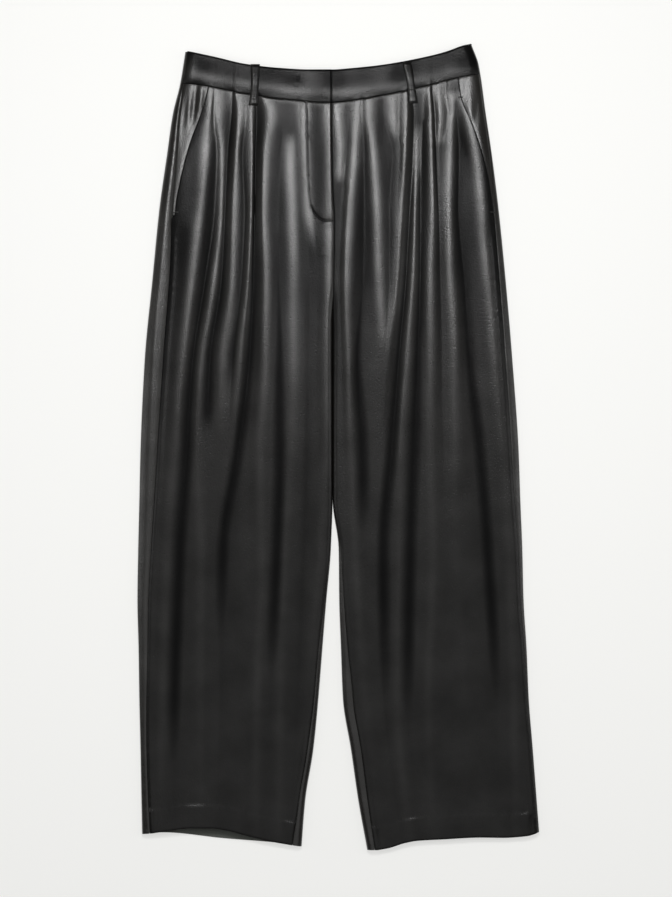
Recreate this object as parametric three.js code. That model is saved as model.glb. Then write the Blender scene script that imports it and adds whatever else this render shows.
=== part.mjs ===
// High-waisted pleated leather trousers, laid flat with the front up and the waist towards +Y.
// Two slack leg tubes lie on the surface: each back panel is flat underneath and curls round the
// leg's two edges to meet its front panel, and the front panels carry the pleats and folds.
// Millimetres, +Z up. "across" is measured from the centre front, + to the wearer's left, and
// "down" from the highest point of the waist.

import * as THREE from "three";

// Cloth and seams
const CLOTH = 1.2;
const BAND = 2.2;
const LOOP = 1.6;
const SEAM_GAP = 0.3;
const HEM_DEPTH = 30;

// The middle of the whole outline, which becomes the origin
const MIDDLE = { across: 8, down: 523 };

// How a leg tube lies: the height of its outermost point, and the rounding of its edges
const EDGE_HEIGHT = 3.6;
const EDGE_CORNER = 4;
const OUTER_ROUNDING = 15;
const INNER_ROUNDING = 9;
const CROTCH_DOWN = 370;
const CROTCH_RUN = 60;

// Steps between layers
const BAND_PROUD = 0.5;
const MOUTH_STEP = 2.6;
const MOUTH_RUNOUT = 26;
const MOUTH_END_DOWN = 224;
const FACING_UNDERLAP = 8;
const FACING_DIVE = 1.5;
const FLY_STEP = 1.2;
const FLY_RUNOUT = 36;
const FLY_END_DOWN = 228;
const LOOP_CLEARANCE = 0.7;
const LOOP_LENGTH = 52;

// The left hem stands open: the arch that its front layer makes, and the right hem's smaller one
const HEM_ARCH = {
  right: { height: 5, middle: -172, halfWidth: 62, length: 95 },
  left: { height: 1.5, middle: 150, halfWidth: 80, length: 70 },
};

// Outline of each leg and the place of its seams: the outer and inner edge across at each level,
// and how far the side seam and the inseam lie in from those edges, on the front
const LEG_COLUMNS = ["down", "outer", "inner", "sideSeam", "inseam"];
const LEG_ROWS = {
  right: [
    [8, -191, -0.15, 2.5, 0],
    [51, -198, -0.15, 4, 0],
    [90, -207.5, -0.15, 9, 0],
    [142, -215, -0.15, 12.5, 0],
    [213, -225, -0.15, 17, 0],
    [304, -234, -0.15, 22, 0],
    [408, -244, -0.15, 24, 0],
    [525, -249.5, -0.15, 22, 0],
    [591, -251, -0.3, 19.5, 0],
    [655, -252.5, -2.2, 17, 0.5],
    [720, -253.5, -8, 14.5, 2],
    [785, -252, -13.3, 12, 5],
    [850, -251, -18.5, 9.5, 5.5],
    [915, -249.5, -25, 8, 7.5],
    [980, -248.3, -35.4, 9, 8],
    [1041, -247, -40.3, 11, 12],
  ],
  left: [
    [1, 180.7, 0.15, 1.5, 0],
    [25, 189.4, 0.15, 1.5, 0],
    [90, 199, 0.15, 2, 0],
    [142, 206.7, 0.15, 2.5, 0],
    [213, 215.5, 0.15, 6.5, 0],
    [304, 224.6, 0.15, 8, 0],
    [408, 233.4, 0.15, 9, 0],
    [525, 241.5, 0.15, 9.5, 0],
    [591, 243.8, 0.3, 7.5, 0],
    [655, 246.4, 7.8, 5.5, 3],
    [720, 248, 8.5, 4.5, 6],
    [785, 252, 10.8, 3.5, 9],
    [850, 254.8, 13.4, 2, 13],
    [915, 260, 23.8, 1.2, 13],
    [980, 265, 33.2, 1, 12],
    [1045, 270, 44.9, 1, 10],
  ],
};

// Mean height of the front's outer face over the surface, and the depth of its folds
const LIE_COLUMNS = ["down", "height", "foldDepth"];
const LIE_ROWS = [
  [0, 11.7, 4.6],
  [90, 11.9, 4.6],
  [215, 11.6, 4.6],
  [305, 11.1, 4.2],
  [410, 10.5, 3.2],
  [525, 9.9, 2],
  [655, 9.4, 1.2],
  [850, 9.1, 0.8],
  [1045, 9.4, 0.4],
];
const WAIST_DAMPING = { atBandTop: 0.08, atSeam: 0.3, runDown: 50 };

// Folds of the fronts. Each row is one crest or hollow: how far it rises (1) or sinks (-1) by the
// hip and by the shin, and where it runs, across, at each level of FOLD_LEVELS.
const FOLD_LEVELS = [90, 142, 213, 304, 408, 525, 655, 850];
const RISE_LEVELS = { hip: 260, shin: 600 };
const FOLDS = {
  right: [
    { name: "side crest", hip: 0.7, shin: 0.6, across: [-159, -165, -173, -183, -195, -205, -215, -221] },
    { name: "side hollow", hip: -0.4, shin: -0.5, across: [-152, -150, -153, -165, -181, -189, -198, -205] },
    { name: "thigh crest", hip: 0.2, shin: 0.6, across: [-146, -144, -145, -154, -169, -177, -171, -172] },
    { name: "outer pleat hollow", hip: -0.9, shin: 0.1, across: [-131, -136, -139, -144, -159, -163, -164, -166] },
    { name: "outer pleat crest", hip: 0.8, shin: 0.1, across: [-122, -125, -129, -131, -142, -147, -158, -161] },
    { name: "middle hollow", hip: -0.3, shin: 0.1, across: [-112, -117, -114, -118, -130, -137, -153, -156] },
    { name: "middle crest", hip: 0.9, shin: 0, across: [-106, -104, -105, -109, -120, -130, -148, -151] },
    { name: "inner pleat hollow", hip: -1, shin: -0.6, across: [-98, -100, -101, -103, -108, -122, -142, -146] },
    { name: "inner pleat crest", hip: 1, shin: 0.5, across: [-78, -88, -90, -87, -87, -95, -92, -98] },
    { name: "belly hollow", hip: -0.6, shin: -0.4, across: [-49, -64, -70, -70, -69, -69, -72, -81] },
    { name: "fly crest", hip: 0.3, shin: 0.3, across: [-45, -55, -53, -51, -51, -53, -62, -68] },
    { name: "fly hollow", hip: -0.4, shin: -0.4, across: [-40, -42, -34, -24, -30, -33, -38, -46] },
    { name: "inner crest", hip: 0.5, shin: 0.5, across: [-8, -8, -7, -9, -10, -10, -18, -33] },
  ],
  left: [
    { name: "inner crest", hip: 0.8, shin: 0.6, across: [34, 29, 21, 17, 20, 23, 29, 42] },
    { name: "inner hollow", hip: -0.4, shin: 0.1, across: [40, 42, 41, 40, 33, 39, 41, 50] },
    { name: "belly crest", hip: 0.5, shin: 0.1, across: [47, 54, 58, 62, 49, 49, 47, 54] },
    { name: "belly hollow", hip: 0.1, shin: 0, across: [73, 80, 74, 74, 57, 55, 51, 57] },
    { name: "inner pleat crest", hip: 0.9, shin: 0, across: [96, 94, 90, 84, 69, 62, 55, 60] },
    { name: "inner pleat hollow", hip: -1, shin: -0.6, across: [106, 104, 100, 95, 86, 77, 66, 68] },
    { name: "middle crest", hip: 0.4, shin: 0.4, across: [112, 110, 107, 104, 96, 88, 87, 84] },
    { name: "middle hollow", hip: -0.7, shin: -0.5, across: [118, 116, 114, 113, 110, 106, 101, 98] },
    { name: "outer pleat crest", hip: 1, shin: 0.4, across: [127, 129, 129, 127, 127, 127, 130, 124] },
    { name: "outer pleat hollow", hip: -0.5, shin: 0, across: [137, 138, 139, 140, 142, 144, 146, 150] },
    { name: "thigh crest", hip: 0.6, shin: 0.3, across: [151, 151, 150, 153, 158, 158, 160, 172] },
    { name: "side hollow", hip: -0.6, shin: -0.5, across: [163, 164, 163, 171, 178, 191, 201, 212] },
    { name: "side crest", hip: 0.8, shin: 0.5, across: [176, 184, 192, 201, 210, 221, 229, 235] },
  ],
};
const SEAM_RISE = { side: -0.3, right: 0.1, left: -0.5 };

// Edges that run across: the waist's upper edge and its seam, and the hems, front and back
const WAIST_TOP = [
  [-196, 7], [-154, 16], [-112, 25.7], [-70, 30.6], [-28, 32.8], [-2, 32.8],
  [29, 30.6], [57, 27.7], [85, 23.4], [113, 18], [147, 9.8], [178, 0.6], [192, 1.5],
];
const WAIST_SEAM = [
  [-205, 49.5], [-174, 53], [-112, 64.6], [-56, 72.3], [-5, 76.2], [1, 76],
  [57, 68], [108, 57.6], [156, 45.5], [198, 37],
];
const HEM_FRONT = {
  right: [[-250, 1025], [-236, 1023.5], [-212, 1020], [-185, 1016.6], [-159, 1016.6], [-135, 1020],
    [-116, 1025.3], [-81, 1034], [-55, 1038.5], [-38, 1041]],
  left: [[42, 1045.2], [55, 1045.2], [71, 1043], [94, 1036], [110, 1033], [142, 1031.2],
    [192, 1028.8], [222, 1029.2], [252, 1027], [266, 1023], [272, 1019]],
};
const HEM_BACK = {
  right: [[-250, 1025], [-236, 1023.5], [-220, 1023], [-142, 1030.5], [-81, 1035.5], [-55, 1038.5], [-38, 1041]],
  left: [[42, 1045.2], [55, 1045], [94, 1035], [142, 1030], [222, 1028], [252, 1026.5], [266, 1023], [272, 1019]],
};

// The slanted pocket mouths, and the fly's lapped edge that ends in the centre seam
const POCKET_MOUTH = {
  right: [[50, -160.5], [80, -167.7], [133, -186.8], [179, -198.4], [199, -202.5], [226, -205.5]],
  left: [[38, 162.5], [69, 167.2], [105, 182], [150, 197], [178, 203.5], [208, 207.7], [226, 209.5]],
};
const LAP_EDGE = [[0, -1.8], [100, -1.8], [180, -0.6], [230, 2], [300, 1], [350, 0]];

// Belt loops: where each starts at the waist's upper edge and how far it leans across
const FRONT_LOOPS = {
  right: { top: { across: -100.4, down: 27.5 }, lean: -2.2 },
  left: { top: { across: 96, down: 24.7 }, lean: 8.6 },
};
const BACK_LOOPS = {
  belt_loop_back_right: { across: -118, down: 27 },
  belt_loop_back_centre: { across: 0, down: 33 },
  belt_loop_back_left: { across: 112, down: 21 },
};
const LOOP_WIDTH = { end: 12.4, waist: 10 };
const BACK_REST = { height: LOOP + SEAM_GAP, levelDown: 86, floorDown: 128 };

// Mesh density
const FRONT_EVEN_COLUMNS = 34;
const FRONT_START_SHARES = [0, 0.012, 0.028, 0.05];
const FRONT_END_SHARES = [0.952, 0.97, 0.986, 1];
const PANEL_ROWS = 22;
// Above 1 the rows lie closer by the waist, where the pleats are steep
const ROW_SPREAD = 1.17;
const WRAP_COLUMNS = 6;
const FLOOR_COLUMNS = 5;

const FINISH = {
  leather: { color: 0x2c2b29, roughness: 0.42, metalness: 0 },
  facing: { color: 0x2a2927, roughness: 0.45, metalness: 0 },
  band: { color: 0x2d2c2a, roughness: 0.42, metalness: 0 },
};

const mix = (a, b, f) => a + (b - a) * f;
const clamp01 = (f) => Math.min(1, Math.max(0, f));

/** Cubic ease from 0 at a to 1 at b. */
function ease(a, b, value) {
  const f = clamp01((value - a) / (b - a));
  return f * f * (3 - 2 * f);
}

/** A smooth line through [x, y] rows that never overshoots them, level beyond its ends. */
function smoothLine(rows) {
  const x = rows.map((row) => row[0]);
  const y = rows.map((row) => row[1]);
  const last = x.length - 1;
  const steps = x.slice(1).map((right, i) => (y[i + 1] - y[i]) / (right - x[i]));
  const slope = x.map((_, i) => {
    if (i === 0 || i === last) return steps[Math.min(i, last - 1)];
    const before = steps[i - 1];
    const after = steps[i];
    return before * after <= 0 ? 0 : (2 * before * after) / (before + after);
  });
  return (value) => {
    if (value <= x[0]) return y[0];
    if (value >= x[last]) return y[last];
    let i = 0;
    while (value > x[i + 1]) i += 1;
    const span = x[i + 1] - x[i];
    const f = (value - x[i]) / span;
    const bend = f * f * (3 - 2 * f);
    const rise = f * (1 - f) * (1 - f) * slope[i] - f * f * (1 - f) * slope[i + 1];
    return mix(y[i], y[i + 1], bend) + rise * span;
  };
}

/** Turns a table whose first column is the level into one smooth line for each other column. */
function smoothColumns(columns, rows) {
  const lines = columns.slice(1).map((name, i) => [name, smoothLine(rows.map((row) => [row[0], row[i + 1]]))]);
  return Object.fromEntries(lines);
}

const legLines = {
  right: smoothColumns(LEG_COLUMNS, LEG_ROWS.right),
  left: smoothColumns(LEG_COLUMNS, LEG_ROWS.left),
};
const lie = smoothColumns(LIE_COLUMNS, LIE_ROWS);
const waistTop = smoothLine(WAIST_TOP);
const waistSeam = smoothLine(WAIST_SEAM);
const lapEdge = smoothLine(LAP_EDGE);
const hemFront = { right: smoothLine(HEM_FRONT.right), left: smoothLine(HEM_FRONT.left) };
const hemBack = { right: smoothLine(HEM_BACK.right), left: smoothLine(HEM_BACK.left) };
const pocketMouth = { right: smoothLine(POCKET_MOUTH.right), left: smoothLine(POCKET_MOUTH.left) };
const inward = { right: 1, left: -1 };
const foldLines = {};
for (const side of ["right", "left"]) {
  foldLines[side] = FOLDS[side].map((fold) => ({
    ...fold,
    at: smoothLine(FOLD_LEVELS.map((level, i) => [level, fold.across[i]])),
  }));
}

/** How far the folds show at a place: held flat by the waistband, full some way below it. */
function foldStrength(across, down) {
  const below = down - waistSeam(across);
  if (below < 0) return mix(WAIST_DAMPING.atSeam, WAIST_DAMPING.atBandTop, ease(0, 40, -below));
  return mix(WAIST_DAMPING.atSeam, 1, ease(0, WAIST_DAMPING.runDown, below));
}

/** The hem's open arch: a bump across its width that dies out up the leg. */
function hemArch(side, across, down) {
  const arch = HEM_ARCH[side];
  const off = (across - arch.middle) / arch.halfWidth;
  const reach = ease(hemFront[side](across) - arch.length, hemFront[side](across), down);
  return arch.height * reach * Math.exp(-off * off);
}

/** Crests and hollows at one level, in order across, with the two seams that bound them. */
function foldStops(side, down) {
  const leg = legLines[side];
  const sideSeam = leg.outer(down) + inward[side] * leg.sideSeam(down);
  const shin = ease(RISE_LEVELS.hip, RISE_LEVELS.shin, down);
  const stops = foldLines[side].map((fold) => ({
    across: fold.at(down),
    rise: mix(fold.hip, fold.shin, shin),
  }));
  const seamStop = { across: sideSeam, rise: SEAM_RISE.side };
  const centreStop = { across: innerFront(side, down), rise: SEAM_RISE[side] * (1 - shin) };
  return side === "right" ? [seamStop, ...stops, centreStop] : [centreStop, ...stops, seamStop];
}

/** Height of the front's outer face before the edges are rounded off. */
function foldHeight(side, stops, across, down) {
  let rise = stops[0].rise;
  for (let i = 0; i + 1 < stops.length; i += 1) {
    if (across > stops[i].across) {
      rise = mix(stops[i].rise, stops[i + 1].rise, ease(stops[i].across, stops[i + 1].across, across));
    }
  }
  const depth = lie.foldDepth(down) * foldStrength(across, down);
  return lie.height(down) + depth * rise + hemArch(side, across, down);
}

/** The front's inner boundary: the fly's lapped edge down to the crotch, then the leg's inner edge. */
function innerFront(side, down) {
  const lap = lapEdge(down) - (inward[side] * SEAM_GAP) / 2;
  return mix(lap, legLines[side].inner(down), ease(CROTCH_DOWN - 40, CROTCH_DOWN, down));
}

/** Quarter-round fall of an edge: 0 at the edge itself, 1 beyond the rounding. */
function roundOff(distance, rounding) {
  const f = 1 - clamp01(distance / rounding);
  return Math.sqrt(1 - f * f);
}

/**
 * The upper side of one leg at one level, as a line from its outer edge to its inner one, with
 * closer points where the edges turn over, and the length run along it.
 */
function upperSection(side, down) {
  const outer = legLines[side].outer(down);
  const width = (innerFront(side, down) - outer) * inward[side];
  const fall = ease(CROTCH_DOWN - CROTCH_RUN, CROTCH_DOWN, down);
  const stops = foldStops(side, down);
  const offs = [];
  for (let i = 0; i < 10; i += 1) offs.push(OUTER_ROUNDING * (1 - Math.cos((i / 10) * (Math.PI / 2))));
  for (let i = 0; i <= 90; i += 1) offs.push(mix(OUTER_ROUNDING, width - INNER_ROUNDING, i / 90));
  for (let i = 9; i >= 0; i -= 1) offs.push(width - INNER_ROUNDING * (1 - Math.cos((i / 10) * (Math.PI / 2))));
  const points = offs.map((off) => {
    const across = outer + inward[side] * off;
    const round = roundOff(off, OUTER_ROUNDING) * (1 - fall * (1 - roundOff(width - off, INNER_ROUNDING)));
    const height = foldHeight(side, stops, across, down);
    return { off, across, height: mix(EDGE_HEIGHT, height, round) };
  });
  const length = measure(points, inward[side]);
  return { side, down, points, width, outer, length };
}

/** Notes on each point of a line how far it runs along it and which way faces out there. */
function measure(points, turn) {
  let run = 0;
  points.forEach((point, i) => {
    const before = points[Math.max(0, i - 1)];
    const after = points[Math.min(points.length - 1, i + 1)];
    run += Math.hypot(point.across - before.across, point.height - before.height);
    const span = Math.hypot(after.across - before.across, after.height - before.height);
    point.run = run;
    point.outAcross = (-turn * (after.height - before.height)) / span;
    point.outUp = (turn * (after.across - before.across)) / span;
  });
  return run;
}

/** The point of a line of points at a value of one of its rising keys. */
function pointAt(points, key, value) {
  let i = 0;
  while (i + 2 < points.length && points[i + 1][key] < value) i += 1;
  const from = points[i];
  const to = points[i + 1];
  const f = clamp01((value - from[key]) / (to[key] - from[key]));
  return {
    across: mix(from.across, to.across, f),
    height: mix(from.height, to.height, f),
    run: mix(from.run, to.run, f),
    outAcross: mix(from.outAcross, to.outAcross, f),
    outUp: mix(from.outUp, to.outUp, f),
  };
}

const runAtOff = (section, off) => pointAt(section.points, "off", off).run;

/** How far in from the outer edge the front panel begins: at the pocket mouth or the side seam. */
function frontStart(section) {
  const seam = legLines[section.side].sideSeam(section.down);
  const mouth = (pocketMouth[section.side](section.down) - section.outer) * inward[section.side];
  return section.down < MOUTH_END_DOWN ? Math.max(seam, mouth) : seam;
}

/** A point of the front panel, raised at the pocket mouth and at the fly's lap. */
function frontPoint(side, down, f) {
  const section = upperSection(side, down);
  const start = runAtOff(section, frontStart(section)) + SEAM_GAP / 2;
  const inset = legLines[side].inseam(down) * ease(CROTCH_DOWN, CROTCH_DOWN + 60, down);
  const end = runAtOff(section, section.width - inset) - SEAM_GAP / 2;
  const run = mix(start, end, f);
  const point = pointAt(section.points, "run", run);
  const mouth = MOUTH_STEP * (1 - ease(MOUTH_END_DOWN, MOUTH_END_DOWN + 36, down));
  point.height += mouth * (1 - ease(0, MOUTH_RUNOUT, run - start));
  if (side === "right") {
    const lap = FLY_STEP * (1 - ease(FLY_END_DOWN - 20, FLY_END_DOWN + 30, down));
    point.height += lap * (1 - ease(0, FLY_RUNOUT, end - run));
  }
  return point;
}

/** A point of the pocket facing, which dives under the front past the pocket mouth. */
function facingPoint(side, down, f) {
  const section = upperSection(side, down);
  const start = runAtOff(section, legLines[side].sideSeam(down)) + SEAM_GAP;
  const mouth = Math.max(start, runAtOff(section, frontStart(section)));
  const run = mix(start, mouth + FACING_UNDERLAP, f);
  const point = pointAt(section.points, "run", run);
  point.height -= FACING_DIVE * ease(-5, FACING_UNDERLAP - 2, run - mouth);
  return point;
}

const FACING_UP = { outAcross: 0, outUp: 1 };
const FACING_DOWN = { outAcross: 0, outUp: -1 };

/** How high the back lies over the surface: its belt loops lift it near the waist. */
function backRest(down) {
  return BACK_REST.height * (1 - ease(BACK_REST.levelDown, BACK_REST.floorDown, down));
}

/** Evenly spaced points along a line of points. */
function spread(points, count, turn) {
  const length = measure(points, turn);
  return Array.from({ length: count }, (_, i) => pointAt(points, "run", (length * i) / (count - 1)));
}

/** The lower corner of an edge, from its outermost point to the surface, as a quarter of an ellipse. */
function lowerCorner(edge, inwards, height, rest) {
  return Array.from({ length: 9 }, (_, i) => {
    const angle = (i / 8) * (Math.PI / 2);
    return {
      across: edge + inwards * EDGE_CORNER * (1 - Math.cos(angle)),
      height: mix(height, rest, Math.sin(angle)),
    };
  });
}

/** The part of the upper side from its edge in to a seam, edge first. */
function edgeStrip(section, fromRun, toRun) {
  return Array.from({ length: 8 }, (_, i) => pointAt(section.points, "run", mix(fromRun, toRun, i / 7)));
}

/** One leg's back at one level: from the side seam round the outer edge, along the surface, and
 *  round the inner edge to the inseam, or to the centre back seam above the crotch. */
function backSection(side, down) {
  const section = upperSection(side, down);
  const rest = backRest(down);
  const seamRun = runAtOff(section, legLines[side].sideSeam(down)) - SEAM_GAP / 2;
  const wrapOuter = [
    ...edgeStrip(section, 0, seamRun).reverse(),
    ...lowerCorner(section.outer, inward[side], EDGE_HEIGHT, rest).slice(1),
  ];
  const inner = legLines[side].inner(down);
  const closed = ease(CROTCH_DOWN - 45, CROTCH_DOWN, down);
  const innerHeight = mix(rest, EDGE_HEIGHT - SEAM_GAP, closed);
  const wrapInner = lowerCorner(inner, -inward[side], innerHeight, rest).reverse();
  const inset = legLines[side].inseam(down) * ease(CROTCH_DOWN, CROTCH_DOWN + 60, down);
  const inseamRun = runAtOff(section, section.width - inset) + SEAM_GAP / 2;
  if (inset > SEAM_GAP) wrapInner.push(...edgeStrip(section, section.length, inseamRun).slice(1));
  const floor = Array.from({ length: FLOOR_COLUMNS }, (_, i) => ({
    across: mix(section.outer + inward[side] * EDGE_CORNER, inner - inward[side] * EDGE_CORNER,
      (i + 1) / (FLOOR_COLUMNS + 1)),
    height: rest,
    ...FACING_DOWN,
  }));
  const turn = -inward[side];
  return [...spread(wrapOuter, WRAP_COLUMNS, turn), ...floor, ...spread(wrapInner, WRAP_COLUMNS, turn)];
}

/**
 * A grid of points whose rows run between two edges. A point's level follows the edges at the
 * place across where the point lies, found by a few repeated steps.
 */
function gridBetween(rowShares, columnCount, upper, lower, pointOf) {
  return rowShares.map((share) => Array.from({ length: columnCount }, (_, column) => {
    let down = 500;
    let point;
    for (let step = 0; step < 6; step += 1) {
      point = pointOf(down, column);
      down = share(upper(point.across), lower(point.across));
    }
    return { ...point, down };
  }));
}

/** Rows of a leg panel above its turned hem, a little closer by the waist. */
function rowsAboveHem() {
  return Array.from({ length: PANEL_ROWS }, (_, i) => {
    const f = (i / (PANEL_ROWS - 1)) ** ROW_SPREAD;
    return (upper, lower) => mix(upper, lower - HEM_DEPTH - 1.5, f);
  });
}

/** All rows of a leg panel: three more make the turned hem. */
function panelRows() {
  const rows = rowsAboveHem();
  rows.push((upper, lower) => lower - HEM_DEPTH);
  rows.push((upper, lower) => lower - HEM_DEPTH / 2);
  rows.push((upper, lower) => lower);
  return rows;
}

const evenRows = (count) => Array.from({ length: count }, (_, i) => (upper, lower) => mix(upper, lower, i / (count - 1)));

/**
 * Closes a grid of outer points into a wall: the inner points lie a thickness further in, and
 * strips join the two round the four edges.
 */
function wall(grid, thicknessAt) {
  const rows = grid.length;
  const columns = grid[0].length;
  const positions = [];
  const inner = [];
  for (const point of grid.flat()) {
    const thickness = thicknessAt(point);
    const place = (across, height) => [across - MIDDLE.across, MIDDLE.down - point.down, height];
    const scale = thickness / Math.hypot(point.outAcross, point.outUp);
    positions.push(...place(point.across, point.height));
    inner.push(...place(point.across - point.outAcross * scale, point.height - point.outUp * scale));
  }
  positions.push(...inner);
  const offset = rows * columns;
  const at = (r, c) => r * columns + c;
  const faces = [];
  const quad = (a, b, c, d) => faces.push(a, b, c, a, c, d);
  for (let r = 0; r + 1 < rows; r += 1) {
    for (let c = 0; c + 1 < columns; c += 1) {
      quad(at(r, c), at(r + 1, c), at(r + 1, c + 1), at(r, c + 1));
      quad(offset + at(r, c), offset + at(r, c + 1), offset + at(r + 1, c + 1), offset + at(r + 1, c));
    }
    quad(at(r, 0), offset + at(r, 0), offset + at(r + 1, 0), at(r + 1, 0));
    quad(at(r, columns - 1), at(r + 1, columns - 1), offset + at(r + 1, columns - 1), offset + at(r, columns - 1));
  }
  for (let c = 0; c + 1 < columns; c += 1) {
    quad(at(0, c), at(0, c + 1), offset + at(0, c + 1), offset + at(0, c));
    quad(at(rows - 1, c), offset + at(rows - 1, c), offset + at(rows - 1, c + 1), at(rows - 1, c + 1));
  }
  return closedGeometry(positions, faces);
}

/** A geometry with its faces turned outwards, whichever way the grid ran. */
function closedGeometry(positions, faces) {
  const corner = (i) => new THREE.Vector3().fromArray(positions, faces[i] * 3);
  let volume = 0;
  for (let i = 0; i < faces.length; i += 3) volume += corner(i).dot(corner(i + 1).cross(corner(i + 2)));
  const turned = volume < 0 ? faces.slice().reverse() : faces;
  const geometry = new THREE.BufferGeometry();
  geometry.setAttribute("position", new THREE.Float32BufferAttribute(positions, 3));
  geometry.setIndex(turned);
  geometry.computeVertexNormals();
  return geometry;
}

const group = new THREE.Group();

function addMesh(name, geometry, finish) {
  const mesh = new THREE.Mesh(geometry, new THREE.MeshStandardMaterial(FINISH[finish]));
  mesh.name = name;
  group.add(mesh);
}

const belowWaist = (across) => waistSeam(across) + SEAM_GAP / 2;
const aboveWaist = (across) => waistSeam(across) - SEAM_GAP / 2;
const hemThickness = (side, hem) => (point) => (
  point.down > hem[side](point.across) - HEM_DEPTH - 1 ? 2 * CLOTH : CLOTH
);

/** Where the front panel's columns lie across it: even ones, closer where its edges turn over. */
function frontShares() {
  const from = 0.075;
  const to = 0.93;
  const even = Array.from({ length: FRONT_EVEN_COLUMNS }, (_, i) => mix(from, to, i / (FRONT_EVEN_COLUMNS - 1)));
  return [...FRONT_START_SHARES, ...even, ...FRONT_END_SHARES];
}

/** A leg's front panel, from the pocket mouth or side seam to the fly or inseam. */
function addFront(side) {
  const shares = frontShares();
  const grid = gridBetween(panelRows(), shares.length, belowWaist, hemFront[side],
    (down, column) => frontPoint(side, down, shares[column]));
  addMesh(`front_${side}`, wall(grid, hemThickness(side, hemFront)), "leather");
}

/** A leg's back panel, flat underneath and curled round both edges. */
function addBack(side) {
  const columns = 2 * WRAP_COLUMNS + FLOOR_COLUMNS;
  const grid = gridBetween(panelRows(), columns, belowWaist, hemBack[side],
    (down, column) => backSection(side, down)[column]);
  addMesh(`back_${side}`, wall(grid, hemThickness(side, hemBack)), "leather");
}

/** The piece behind a pocket mouth. */
function addFacing(side) {
  const columns = 9;
  const rows = rowsAboveHem().filter((share) => share(waistSeam(0), hemFront[side](0)) < MOUTH_END_DOWN - 12);
  rows.push(() => MOUTH_END_DOWN - 3);
  const grid = gridBetween(rows, columns, belowWaist, hemFront[side],
    (down, column) => facingPoint(side, down, column / (columns - 1)));
  addMesh(`pocket_facing_${side}`, wall(grid, () => CLOTH), "facing");
}

/** A front half of the waistband, from the side seam to the closed edge at the centre front. */
function addFrontBand(side) {
  const columns = 24;
  const pointOf = (down, column) => {
    const section = upperSection(side, down);
    const start = runAtOff(section, legLines[side].sideSeam(down)) + SEAM_GAP;
    const end = section.length;
    const run = mix(start, end, column / (columns - 1));
    const point = pointAt(section.points, "run", run);
    const lap = side === "right" ? FLY_STEP * (1 - ease(0, FLY_RUNOUT, end - run)) : 0;
    point.height += BAND_PROUD + lap;
    return point;
  };
  const grid = gridBetween(evenRows(5), columns, waistTop, aboveWaist, pointOf);
  addMesh(`waistband_front_${side}`, wall(grid, () => BAND), "band");
}

/** The back of the waistband, one piece that curls round both sides to the side seams. */
function addBackBand() {
  const floorColumns = 9;
  const wrapColumns = 6;
  const pointOf = (down, column) => {
    const wraps = {};
    for (const side of ["right", "left"]) {
      const section = upperSection(side, down);
      const seamRun = runAtOff(section, legLines[side].sideSeam(down)) - SEAM_GAP / 2;
      const strip = edgeStrip(section, 0, seamRun).reverse();
      strip.forEach((point) => { point.height += BAND_PROUD * ease(0, seamRun + 0.1, point.run); });
      const corner = lowerCorner(section.outer, inward[side], EDGE_HEIGHT, backRest(down)).slice(1);
      wraps[side] = spread([...strip, ...corner], wrapColumns, -inward[side]);
    }
    const from = wraps.right[wrapColumns - 1];
    const to = wraps.left[wrapColumns - 1];
    const floor = Array.from({ length: floorColumns }, (_, i) => ({
      across: mix(from.across, to.across, (i + 1) / (floorColumns + 1)),
      height: backRest(down),
      ...FACING_DOWN,
    }));
    return [...wraps.right, ...floor, ...wraps.left.reverse()][column];
  };
  const backTop = (across) => waistTop(across) + mix(1.2, -1.5, ease(110, 150, across));
  const grid = gridBetween(evenRows(5), 2 * wrapColumns + floorColumns, backTop, aboveWaist, pointOf);
  addMesh("waistband_back", wall(grid, () => BAND), "band");
}

/** A belt loop's width along its length: wider at its sewn ends. */
const loopWidth = (f) => mix(LOOP_WIDTH.end, LOOP_WIDTH.waist, Math.sin(Math.PI * f));

/** The highest that the front lies under the width of a flat strap. */
function highestUnder(side, across, down) {
  const stops = foldStops(side, down);
  const offs = [-1, -0.5, 0, 0.5, 1].map((f) => across + f * LOOP_WIDTH.end);
  return Math.max(...offs.map((place) => foldHeight(side, stops, place, down)));
}

/** A front belt loop, lying on the waistband and sewn below it. */
function addFrontLoop(side) {
  const { top, lean } = FRONT_LOOPS[side];
  const columns = 4;
  const rows = 9;
  const grid = Array.from({ length: rows }, (_, r) => Array.from({ length: columns }, (__, c) => {
    const f = r / (rows - 1);
    const centre = top.across + lean * f;
    const across = centre + loopWidth(f) * (c / (columns - 1) - 0.5);
    const down = top.down + LOOP_LENGTH * f;
    const height = highestUnder(side, centre, down) + BAND_PROUD + LOOP_CLEARANCE + LOOP;
    return { across, down, height, ...FACING_UP };
  }));
  addMesh(`belt_loop_front_${side}`, wall(grid, () => LOOP), "leather");
}

/** A back belt loop, flat on the surface under the waistband. */
function addBackLoop(name, place) {
  const columns = 3;
  const rows = 5;
  const grid = Array.from({ length: rows }, (_, r) => Array.from({ length: columns }, (__, c) => {
    const f = r / (rows - 1);
    return {
      across: place.across + loopWidth(f) * (c / (columns - 1) - 0.5),
      down: place.down + LOOP_LENGTH * f,
      height: LOOP,
      ...FACING_UP,
    };
  }));
  addMesh(name, wall(grid, () => LOOP), "leather");
}

for (const side of ["right", "left"]) {
  addFront(side);
  addBack(side);
  addFacing(side);
  addFrontBand(side);
  addFrontLoop(side);
}
addBackBand();
for (const [name, place] of Object.entries(BACK_LOOPS)) addBackLoop(name, place);

export default group;
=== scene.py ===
"""Pleated leather trousers, laid flat with the front up: the finished cloth, the sewing and the stage.

Lengths in the tables are millimetres. "across" is measured from the centre front, + to the wearer's
left, and "down" from the highest point of the waist. "right" and "left" are the wearer's.
"""
import math

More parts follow.
